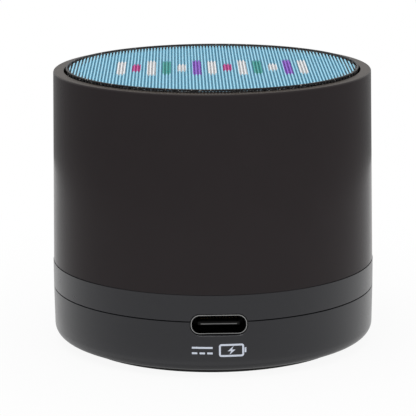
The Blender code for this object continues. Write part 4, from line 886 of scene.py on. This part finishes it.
# Driver. A foam gasket, a pressed steel basket, a magnet of sintered ferrite between steel plates,
# and a paper cone with a dust cap that a rubber surround and a corrugated spider hold in the middle.
painted(grained("gasket_foam", (0.03, 0.03, 0.03), 0.9, grain=2600, depth=0.05), "driver_gasket")
basket_steel = grained("basket_steel", (0.055, 0.055, 0.058), 0.42, grain=2200, depth=0.02, Metallic=0.6)
painted(basket_steel, "driver_basket")
painted(ferrite_grey, "magnet")
plate_steel = grained("plate_steel", (0.50, 0.50, 0.49), 0.34, grain=1600, depth=0.02, Metallic=1.0)
painted(plate_steel, "top_plate", "yoke")
former_paper = grained("former_paper", (0.50, 0.40, 0.26), 0.6, grain=3200, depth=0.02)
painted(former_paper, "coil_former")
COIL_PITCH = 0.15 * MM
copper, shader, place = finish("coil_copper", Metallic=1.0)
turns = place.maths('SINE', place.parts()[2] * (math.tau / COIL_PITCH))
feed(
    shader,
    Base_Color=place.noise(1200, 2).mix((0.50, 0.19, 0.08, 1), (0.66, 0.28, 0.12, 1)),
    Roughness=place.noise(1500, 2) * 0.12 + 0.26,
    Normal=relief(turns, 0.7, 0.05 * MM),
)
painted(copper, "coil_winding")
THREADS = math.tau / (0.4 * MM)
spider_cloth, shader, place = finish("spider_cloth")
across, along = place.parts()[:2]
weave = place.maths('SINE', across * THREADS) * place.maths('SINE', along * THREADS)
feed(
    shader,
    Base_Color=place.noise(500, 3).mix((0.38, 0.27, 0.10, 1), (0.52, 0.38, 0.15, 1)),
    Roughness=place.noise(900, 2) * 0.1 + 0.8,
    Normal=relief(weave, 0.6, 0.08 * MM),
)
phenolic = grained("terminal_phenolic", (0.30, 0.18, 0.08), 0.6, grain=2400, depth=0.02)
painted(phenolic, "terminal_strip")

RIM_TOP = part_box("driver_cone")[1].z
CONE_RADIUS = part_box("driver_cone")[1].x
NECK_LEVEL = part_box("driver_cone")[0].z
NECK_RADIUS = 6.63 * MM
CONE_SHEET = 0.35 * MM
CONE_RIM = 1.2 * MM
cone = turned("cone_paper", [
    (CONE_RADIUS, RIM_TOP),
    (CONE_RADIUS, RIM_TOP - CONE_SHEET),
    (CONE_RADIUS - CONE_RIM, RIM_TOP - CONE_SHEET),
    (NECK_RADIUS + CONE_SHEET, NECK_LEVEL),
    (NECK_RADIUS, NECK_LEVEL),
    (NECK_RADIUS, NECK_LEVEL + CONE_SHEET),
    (CONE_RADIUS - CONE_RIM - CONE_SHEET, RIM_TOP),
], 96)
cone_fibre, shader, place = finish("cone_fibre")
feed(
    shader,
    Base_Color=place.noise(1400, 4).mix((0.010, 0.010, 0.011, 1), (0.026, 0.026, 0.028, 1)),
    Roughness=place.noise(800, 2) * 0.12 + 0.72,
    Normal=relief(place.noise(2600, 4), 0.5, 0.05 * MM),
)
dressed(smoothed(eased(cone, 0.08 * MM)), cone_fibre, "cone_assembly", "cone_paper", "driver_cone")

CAP_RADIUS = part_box("dust_cap")[1].x
CAP_LOW, CAP_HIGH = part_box("dust_cap")[0].z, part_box("dust_cap")[1].z
CAP_SHEET = 0.3 * MM


def dome(radius, rise, steps=12):
    """Points of a shallow dome, from near its middle out to its edge."""
    shares = [(step + 0.25) / (steps + 0.25) for step in range(steps + 1)]
    return [(radius * share, CAP_LOW + rise * (1 - share ** 2)) for share in shares]


cap = turned(
    "dust_cap_dome",
    dome(CAP_RADIUS, CAP_HIGH - CAP_LOW)
    + dome(CAP_RADIUS - CAP_SHEET, CAP_HIGH - CAP_LOW - CAP_SHEET)[::-1],
    96, closed=False,
)
dressed(smoothed(cap, 60), cone_fibre, "cone_assembly", "cone_paper", "dust_cap")

SURROUND_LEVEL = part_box("driver_surround")[0].z
SURROUND_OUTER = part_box("driver_surround")[1].x
ROLL_RADIUS, ROLL_SHEET = 1.4 * MM, 0.35 * MM
GLUED_TO = CONE_RADIUS - 0.6 * MM
roll_middle = (CONE_RADIUS + ROLL_RADIUS, SURROUND_LEVEL)
roll_angle = math.degrees(math.asin(ROLL_SHEET / (ROLL_RADIUS + ROLL_SHEET / 2)))
surround = turned(
    "surround_roll",
    [(SURROUND_OUTER, SURROUND_LEVEL)]
    + arc(roll_middle, ROLL_RADIUS - ROLL_SHEET / 2, 0, 180, 14)
    + [(GLUED_TO, SURROUND_LEVEL), (GLUED_TO, SURROUND_LEVEL + ROLL_SHEET)]
    + arc(roll_middle, ROLL_RADIUS + ROLL_SHEET / 2, 180 - roll_angle, roll_angle, 14)
    + [(SURROUND_OUTER, SURROUND_LEVEL + ROLL_SHEET)],
    96,
)
surround_rubber = grained("surround_rubber", (0.014, 0.014, 0.014), 0.66, grain=3000, depth=0.02)


def flexed(piece, material, node):
    """Give a ring its material and hide its CAD node. Its points are laid on one bearing while the mesh
    is baked where it stands, and then put back.
    """
    coated(piece, material)
    places = [vertex.co.copy() for vertex in piece.data.vertices]
    for vertex in piece.data.vertices:
        vertex.co = (math.hypot(*vertex.co.xy), 0, vertex.co.z)
    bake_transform(piece)
    for vertex, place in zip(piece.data.vertices, places):
        vertex.co = place
    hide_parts(node)


flexed(smoothed(surround, 60), surround_rubber, "driver_surround")

SPIDER_SHEET = 0.3 * MM
SPIDER_LOW, SPIDER_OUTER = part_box("spider")[0].z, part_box("spider")[1].x
WAVE_HEIGHT = (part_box("spider")[1].z - SPIDER_LOW - SPIDER_SHEET) / 2
WAVE_START, WAVE_END = NECK_RADIUS + 0.6 * MM, 11.2 * MM
WAVE_STEPS, HALF_WAVES = 24, 3
underside = [(NECK_RADIUS, SPIDER_LOW + WAVE_HEIGHT)]
for step in range(WAVE_STEPS + 1):
    share = step / WAVE_STEPS
    out = WAVE_START + (WAVE_END - WAVE_START) * share
    wave = math.sin(HALF_WAVES * math.pi * share)
    underside.append((out, SPIDER_LOW + WAVE_HEIGHT * (1 + wave)))
underside.append((SPIDER_OUTER, SPIDER_LOW + WAVE_HEIGHT))
upper_side = [(out, level + SPIDER_SHEET) for out, level in reversed(underside)]
spider = smoothed(turned("spider_ring", underside + upper_side, 96), 60)
flexed(spider, spider_cloth, "spider")


# Grille. A welded mesh of black steel wire, formed down over a plastic ring at its edge, with a
# pale blue ground and a row of coloured level bars printed across its flat top.
GRILLE_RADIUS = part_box("grille")[1].x
GRILLE_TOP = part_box("grille")[1].z
SKIRT_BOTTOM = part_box("grille")[0].z
WIRE_RADIUS = 0.145 * MM
CROSS_RADIUS = 0.11 * MM
WIRE_PITCH = 0.535 * MM
CROSS_DROP = 0.17 * MM
EDGE_ROLL = 0.15 * MM
RIM_RISE = 0.16 * MM
BEAD_ABOVE = 0.12 * MM
BEAD_RADIUS, BEAD_INSET = 0.16 * MM, 0.02 * MM
MESH_TURN = -1.0
PRINT_RADIUS = 23.55 * MM
SHADED_CROSS_PRINT_RADIUS = PRINT_RADIUS - 0.4 * MM
PRINT_BLUE, SHADED_CROSS_BLUE = (0.29, 0.65, 0.84), (0.12, 0.45, 0.66)
BAR_PITCH, BAR_HALF = 2.5 * MM, 0.72 * MM
BAR_SHORTEST, BAR_SWELL = 2.0 * MM, 5.0 * MM
BAR_BEAT, BAR_START = 2.1, 0.9
BAR_COUNT = 13
INKED_ABOVE, GLINTS_ABOVE = -0.2, 0.69
INK_WHITE = (0.82, 0.84, 0.86)
BAR_INKS = (INK_WHITE, (0.56, 0.02, 0.28), INK_WHITE, (0.01, 0.36, 0.33), INK_WHITE, (0.26, 0.07, 0.62))


def mesh_wires(name, radius, drop, sides_step):
    """Wires along X, one pitch apart, each raised at the rim and bent down over it at both ends."""
    outer = GRILLE_RADIUS - WIRE_RADIUS - drop
    crest = GRILLE_TOP - BEAD_ABOVE - WIRE_RADIUS - drop
    edge = [(outer - 1.7 * EDGE_ROLL, crest - RIM_RISE)]
    edge.append((outer - 1.4 * EDGE_ROLL, crest - 0.5 * RIM_RISE))
    edge += arc((outer - EDGE_ROLL, crest - EDGE_ROLL), EDGE_ROLL, 90, 0, 5)
    edge.append((outer, SKIRT_BOTTOM + radius))
    curve = bpy.data.curves.new(name, 'CURVE')
    curve.dimensions = '3D'
    curve.bevel_depth = radius
    curve.bevel_resolution = sides_step
    curve.use_fill_caps = True
    count = int((outer - 0.03 * MM) / WIRE_PITCH)
    for number in range(-count, count + 1):
        offset = number * WIRE_PITCH
        half = [(math.sqrt(out ** 2 - offset ** 2), height) for out, height in edge if out > abs(offset)]
        route = [(-reach, height) for reach, height in reversed(half)] + half
        spline = curve.splines.new('POLY')
        spline.points.add(len(route) - 1)
        for point, (reach, height) in zip(spline.points, route):
            point.co = (reach, offset, height, 1.0)
    piece = bpy.data.objects.new(name, curve)
    bpy.context.scene.collection.objects.link(piece)
    only(piece)
    bpy.ops.object.convert(target='MESH')
    return bpy.context.object


def print_finish(name, ground, cover, reach):
    """Ink on black wire out to a radius, a blue ground with a row of level bars, and painted glints past
    the print.
    """
    material, shader, place = finish(name, Specular_IOR_Level=0.4)
    turn = place.node("Mapping", {"vector_type": 'POINT'}, {
        "Vector": place, "Rotation": (0, 0, math.radians(-MESH_TURN)),
    })
    across, along = turn.parts()[:2]
    number = place.maths('FLOOR', across * (1 / BAR_PITCH) + 0.5)
    aside = abs(across - number * BAR_PITCH)
    tall = abs(place.maths('SINE', number * BAR_BEAT + BAR_START)) * BAR_SWELL + BAR_SHORTEST
    past = place.maths('MAXIMUM', abs(along) - tall, 0.0)
    distance = place.maths('SQRT', aside * aside + past * past)
    bars = (distance < BAR_HALF) * (abs(number) < BAR_COUNT / 2)
    inks = len(BAR_INKS)
    stops = [(order / inks, ink) for order, ink in enumerate(BAR_INKS)]
    turn_of_ink = place.maths('FRACT', (number + 0.5) * (1 / inks))
    hue = place.node("ValToRGB", {"stops": stops, "interpolation": 'CONSTANT'}, {"Fac": turn_of_ink})
    speckle = place.noise(2600, 2)
    blue = speckle.mix(tinted(ground, 0.9), tinted(ground, 1.08))
    ink = bars.mix(blue, hue)
    geometry = place.tree.nodes.new("ShaderNodeNewGeometry")
    facing = Signal(place.tree, geometry.outputs["Normal"]).parts()[2]
    out = place.maths('SQRT', across * across + along * along)
    # A cover below one mixes the ink towards the bare wire: painted shade on the lower cross wires.
    wet = (out < reach) * (facing > INKED_ABOVE) * cover
    # Grey specks on the wire past the print are painted glints, where the bent wire ends catch the
    # light.
    painted_glints = (place.noise(2400, 1) > GLINTS_ABOVE) * (out > PRINT_RADIUS)
    wire_with_glints = painted_glints.mix((0.010, 0.010, 0.011, 1), (0.42, 0.41, 0.40, 1))
    feed(
        shader,
        Base_Color=wet.mix(wire_with_glints, ink),
        Roughness=place.noise(3000, 2) * 0.2 + 0.35,
        Normal=relief(place.noise(6000, 2), 0.3, 0.02 * MM),
    )
    return material


along_wires = swung(mesh_wires("grille_mesh", WIRE_RADIUS, 0.0, 2), 90 + MESH_TURN)
cross_wires = swung(mesh_wires("grille_cross_wires", CROSS_RADIUS, CROSS_DROP, 1), MESH_TURN)
bead_middle = (GRILLE_RADIUS - BEAD_RADIUS - BEAD_INSET, GRILLE_TOP - BEAD_RADIUS)
bead = turned("edge_bead", arc(bead_middle, BEAD_RADIUS, 0, 330, 11), CASE_SIDES)
along_wires = joined([along_wires, bead])
mesh_print = print_finish("mesh_print", PRINT_BLUE, 1.0, PRINT_RADIUS)
dressed(smoothed(along_wires, 70), mesh_print, "casing", "grille_mesh", "grille")
# The lower cross wires get a darker copy of the print, with less ink cover and a shorter reach: painted
# shade under the upper wires.
shaded_cross_print = print_finish("shaded_cross_print", SHADED_CROSS_BLUE, 0.68, SHADED_CROSS_PRINT_RADIUS)
dressed(smoothed(cross_wires, 70), shaded_cross_print, "casing", "grille_mesh")
ring_black = grained("ring_black", (0.010, 0.010, 0.010), 0.6, grain=4200, depth=0.015)
painted(ring_black, "grille_ring")


# Foot. A disc of black silicone rubber with a chamfered edge, die-cut and glued into the recess of
# the cover, so that it hides the screws.
FOOT_RADIUS, FOOT_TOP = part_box("foot_pad")[1].x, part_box("foot_pad")[1].z
FOOT_CHAMFER = 0.3 * MM
foot = turned("foot_disc", [
    (EYE_RADIUS, 0.0),
    (FOOT_RADIUS - FOOT_CHAMFER, 0.0),
    (FOOT_RADIUS, FOOT_CHAMFER),
    (FOOT_RADIUS, FOOT_TOP),
    (EYE_RADIUS, FOOT_TOP),
], CASE_SIDES, closed=False)
eased(foot, 0.08 * MM, 25)
foot_rubber = grained("foot_rubber", (0.012, 0.012, 0.012), 0.8, grain=2800, depth=0.03, mottle=0.2)
dressed(smoothed(foot), foot_rubber, "casing", "foot_rubber", "foot_pad")


# Marking under the socket. A direct-current sign and a battery sign with a charging bolt, which say
# what the socket is for, pad-printed in pale grey ink on the wall of the cover.
MARK_LEVEL = 4.68 * MM
MARK_HEIGHT = 2.1 * MM
MARK_WIDTH = 8.65 * MM
MARK_LINE = 0.3 * MM
MARK_LIFT = 0.025 * MM
MARK_SLICE = 0.32 * MM
INK_DEPTH = 0.05 * MM
SIGN_LEFT = -MARK_WIDTH / 2
SIGN_WIDTH = 3.3 * MM
SIGN_HALF_GAP = 0.3 * MM
DASH = SIGN_WIDTH * 0.26
NUB, NUB_GAP, NUB_HALF = 0.36 * MM, 0.08 * MM, 0.4 * MM
BATTERY_RIGHT = MARK_WIDTH / 2 - NUB
BATTERY_LEFT = BATTERY_RIGHT - 4.0 * MM
BATTERY_CORNER = 0.4 * MM
BOLT = ((0.34, 0.72), (-0.62, -0.12), (-0.06, -0.12), (-0.34, -0.72), (0.62, 0.12), (0.06, 0.12))


def flat_bar(left, right, low, high):
    """Flat rectangle of the marking, between its left and right ends and its lower and upper edges."""
    deselect()
    bpy.ops.mesh.primitive_plane_add(size=1, location=((left + right) / 2, (low + high) / 2, 0))
    bpy.context.object.scale = (right - left, high - low, 1)
    return placed("sign")


signs = [flat_bar(SIGN_LEFT, SIGN_LEFT + SIGN_WIDTH, SIGN_HALF_GAP, SIGN_HALF_GAP + MARK_LINE)]
for number in range(3):
    dash_left = SIGN_LEFT + number * (SIGN_WIDTH - DASH) / 2
    signs.append(flat_bar(dash_left, dash_left + DASH, -SIGN_HALF_GAP - MARK_LINE, -SIGN_HALF_GAP))
battery = flat_bar(BATTERY_LEFT, BATTERY_RIGHT, -MARK_HEIGHT / 2, MARK_HEIGHT / 2)
open_mesh(battery)
bpy.ops.mesh.bevel(offset=BATTERY_CORNER, segments=4, affect='VERTICES')
bpy.ops.mesh.select_all(action='SELECT')
bpy.ops.mesh.inset(thickness=MARK_LINE)
bpy.ops.mesh.delete(type='FACE')
close_mesh()
signs.append(battery)
signs.append(flat_bar(BATTERY_RIGHT + NUB_GAP, MARK_WIDTH / 2, -NUB_HALF, NUB_HALF))
bolt_middle = (BATTERY_LEFT + BATTERY_RIGHT) / 2
deselect()
bpy.ops.mesh.primitive_circle_add(vertices=len(BOLT), radius=1, fill_type='NGON')
bolt = bpy.context.object
for vertex, (aside, rise) in zip(bolt.data.vertices, BOLT):
    vertex.co = (bolt_middle + aside * MM, rise * MM, 0)
signs.append(bolt)
marking = joined(signs)
marking.name = "socket_marking"
open_mesh(sliced(marking, MARK_SLICE, MARK_WIDTH / 2, (1, 0, 0)))
bpy.ops.mesh.remove_doubles(threshold=1e-6)
close_mesh()
applied(marking, 'SOLIDIFY', thickness=INK_DEPTH, offset=-1)
for vertex in marking.data.vertices:
    level = MARK_LEVEL + vertex.co.y
    share = (level - COVER_UNDERSIDE - COVER_FILLET) / (PARTING - COVER_UNDERSIDE - COVER_FILLET)
    wall = BASE_RADIUS - COVER_DRAFT * (1 - share)
    reach = wall + MARK_LIFT + vertex.co.z
    angle = vertex.co.x / wall
    vertex.co = (reach * math.sin(angle), -reach * math.cos(angle), level)
marking_ink = grained("marking_ink", (0.70, 0.75, 0.86), 0.55, grain=9000, depth=0.004, mottle=0.05)
dressed(smoothed(marking), marking_ink, "casing", "base_plastic")


# Studio. A round sheet of white paper that keeps the speaker's shadow, a camera with a long lens,
# one softbox overhead and white surroundings, which give less light from the left and are darker
# low down where the speaker mirrors them.
FLOOR_RADIUS = 0.16
GLOW_FROM, GLOW_TO = 0.025, 0.10
SHADOW_END, SHADOW_EDGE = 0.0268, 0.0017
CLOSE_FROM, CLOSE_TO = 0.032, 0.040
MIRROR_FROM, MIRROR_TO, MIRROR_SLANT = -0.06, 0.02, 0.35
deselect()
bpy.ops.mesh.primitive_circle_add(vertices=96, radius=FLOOR_RADIUS, location=(0, 0, 0), fill_type='NGON')
floor = placed("floor")


def rays(tree):
    """Signals for rays from the camera, and for rays that a gloss or a clear piece sends on."""
    kinds = ("Is Camera Ray", "Is Glossy Ray", "Is Transmission Ray")
    light_path = tree.nodes.new("ShaderNodeLightPath")
    camera_ray, glossy, passing = (Signal(tree, light_path.outputs[kind]) for kind in kinds)
    return camera_ray, glossy.maths('MAXIMUM', glossy, passing)


paper, shader, place = finish("floor_paper", Roughness=0.9, Specular_IOR_Level=0.0)
feed(shader, Base_Color=place.noise(60, 2).mix((0.74, 0.74, 0.74, 1), (0.77, 0.77, 0.77, 1)))
across, along = place.parts()[:2]
tree = paper.node_tree
geometry = tree.nodes.new("ShaderNodeNewGeometry")
camera_ray, mirrored = rays(tree)
away = place.maths('SQRT', across * across + along * along)
white = away.ramped(GLOW_FROM, GLOW_TO, 0.92, 1.0)
# What a gloss mirrors of the floor is painted light: a glow that grows towards the back and a bright
# ring close round the speaker, outside its shadow.
bright = (along + across * MIRROR_SLANT).ramped(MIRROR_FROM, MIRROR_TO, 0.0, 0.76)
clear_of_shadow = away.ramped(SHADOW_END, SHADOW_END + SHADOW_EDGE, 0.0, 0.9)
close = away.ramped(CLOSE_FROM, CLOSE_TO, 1.0, 0.0)
bright = bright.maths('MAXIMUM', bright, clear_of_shadow * close)
glow = place.node("Emission", {}, {"Color": (1, 1, 1, 1), "Strength": 1.0})
shown = camera_ray * white + mirrored * bright
lit = place.node("MixShader", {}, {0: shown, 1: Signal(tree, shader.outputs[0]), 2: glow})
below = Signal(tree, geometry.outputs["Backfacing"])
clear = place.node("BsdfTransparent", {}, {})
surface = below.node("MixShader", {}, {0: below, 1: lit, 2: clear})
tree.links.new(surface.output, tree.nodes["Material Output"].inputs["Surface"])
coated(floor, paper)

CAMERA_DISTANCE = 376.31 * MM
CAMERA_HEIGHT = 105.58 * MM
CAMERA_TURN = math.radians(1.88)
CAMERA_PITCH = 0.21906
CAMERA_ROLL = -0.0055
PICTURE = 416
CAMERA_SHIFT = -4.85 / PICTURE
FOCAL_LENGTH = 2300.7 / PICTURE
SENSOR = 36.0
deselect()
bpy.ops.object.camera_add(location=(
    -CAMERA_DISTANCE * math.sin(CAMERA_TURN), -CAMERA_DISTANCE * math.cos(CAMERA_TURN), CAMERA_HEIGHT,
))
camera = bpy.context.object
aim = Matrix.Rotation(-CAMERA_TURN, 4, 'Z') @ Matrix.Rotation(math.pi / 2 - CAMERA_PITCH, 4, 'X')
camera.rotation_euler = (aim @ Matrix.Rotation(CAMERA_ROLL, 4, 'Z')).to_euler('XYZ')
camera.data.sensor_width = SENSOR
camera.data.lens = FOCAL_LENGTH * SENSOR
camera.data.shift_x = CAMERA_SHIFT
camera.data.clip_start = 0.01
camera.data.clip_end = 10.0
bpy.context.scene.camera = camera

SOFTBOX_PLACE = Vector((-0.15, -0.1, 0.9))
SOFTBOX_AIM = Vector((0, 0, 0.03))
SOFTBOX_SIZE, SOFTBOX_POWER = 0.6, 3.0
deselect()
bpy.ops.object.light_add(type='AREA', location=SOFTBOX_PLACE)
softbox = bpy.context.object
softbox.name = "top_softbox"
softbox.data.size = SOFTBOX_SIZE
softbox.data.energy = SOFTBOX_POWER
softbox.rotation_euler = (SOFTBOX_AIM - SOFTBOX_PLACE).to_track_quat('-Z', 'Y').to_euler()
softbox.visible_camera = False

SKY_FROM, SKY_TO = -0.2, 0.35
ROOM_LIGHT, LEFT_DIM = 0.89, 0.4
world = bpy.data.worlds.new("studio")
bpy.context.scene.world = world
world.use_nodes = True
tree = world.node_tree
background = tree.nodes["Background"]
coordinates = tree.nodes.new("ShaderNodeTexCoord")
direction = Signal(tree, coordinates.outputs["Generated"])
aside, up = direction.parts()[::2]
sky = up.ramped(SKY_FROM, SKY_TO, 0.33, 0.9)
camera_ray, mirrored = rays(tree)
room = direction.maths('MINIMUM', aside, 0.0) * LEFT_DIM + ROOM_LIGHT
studio = mirrored * sky + (1 - mirrored) * room
strength = studio.maths('MAXIMUM', camera_ray, studio)
background.inputs["Color"].default_value = (1, 1, 1, 1)
tree.links.new(strength.output, background.inputs["Strength"])
bpy.context.scene.view_settings.view_transform = 'Standard'
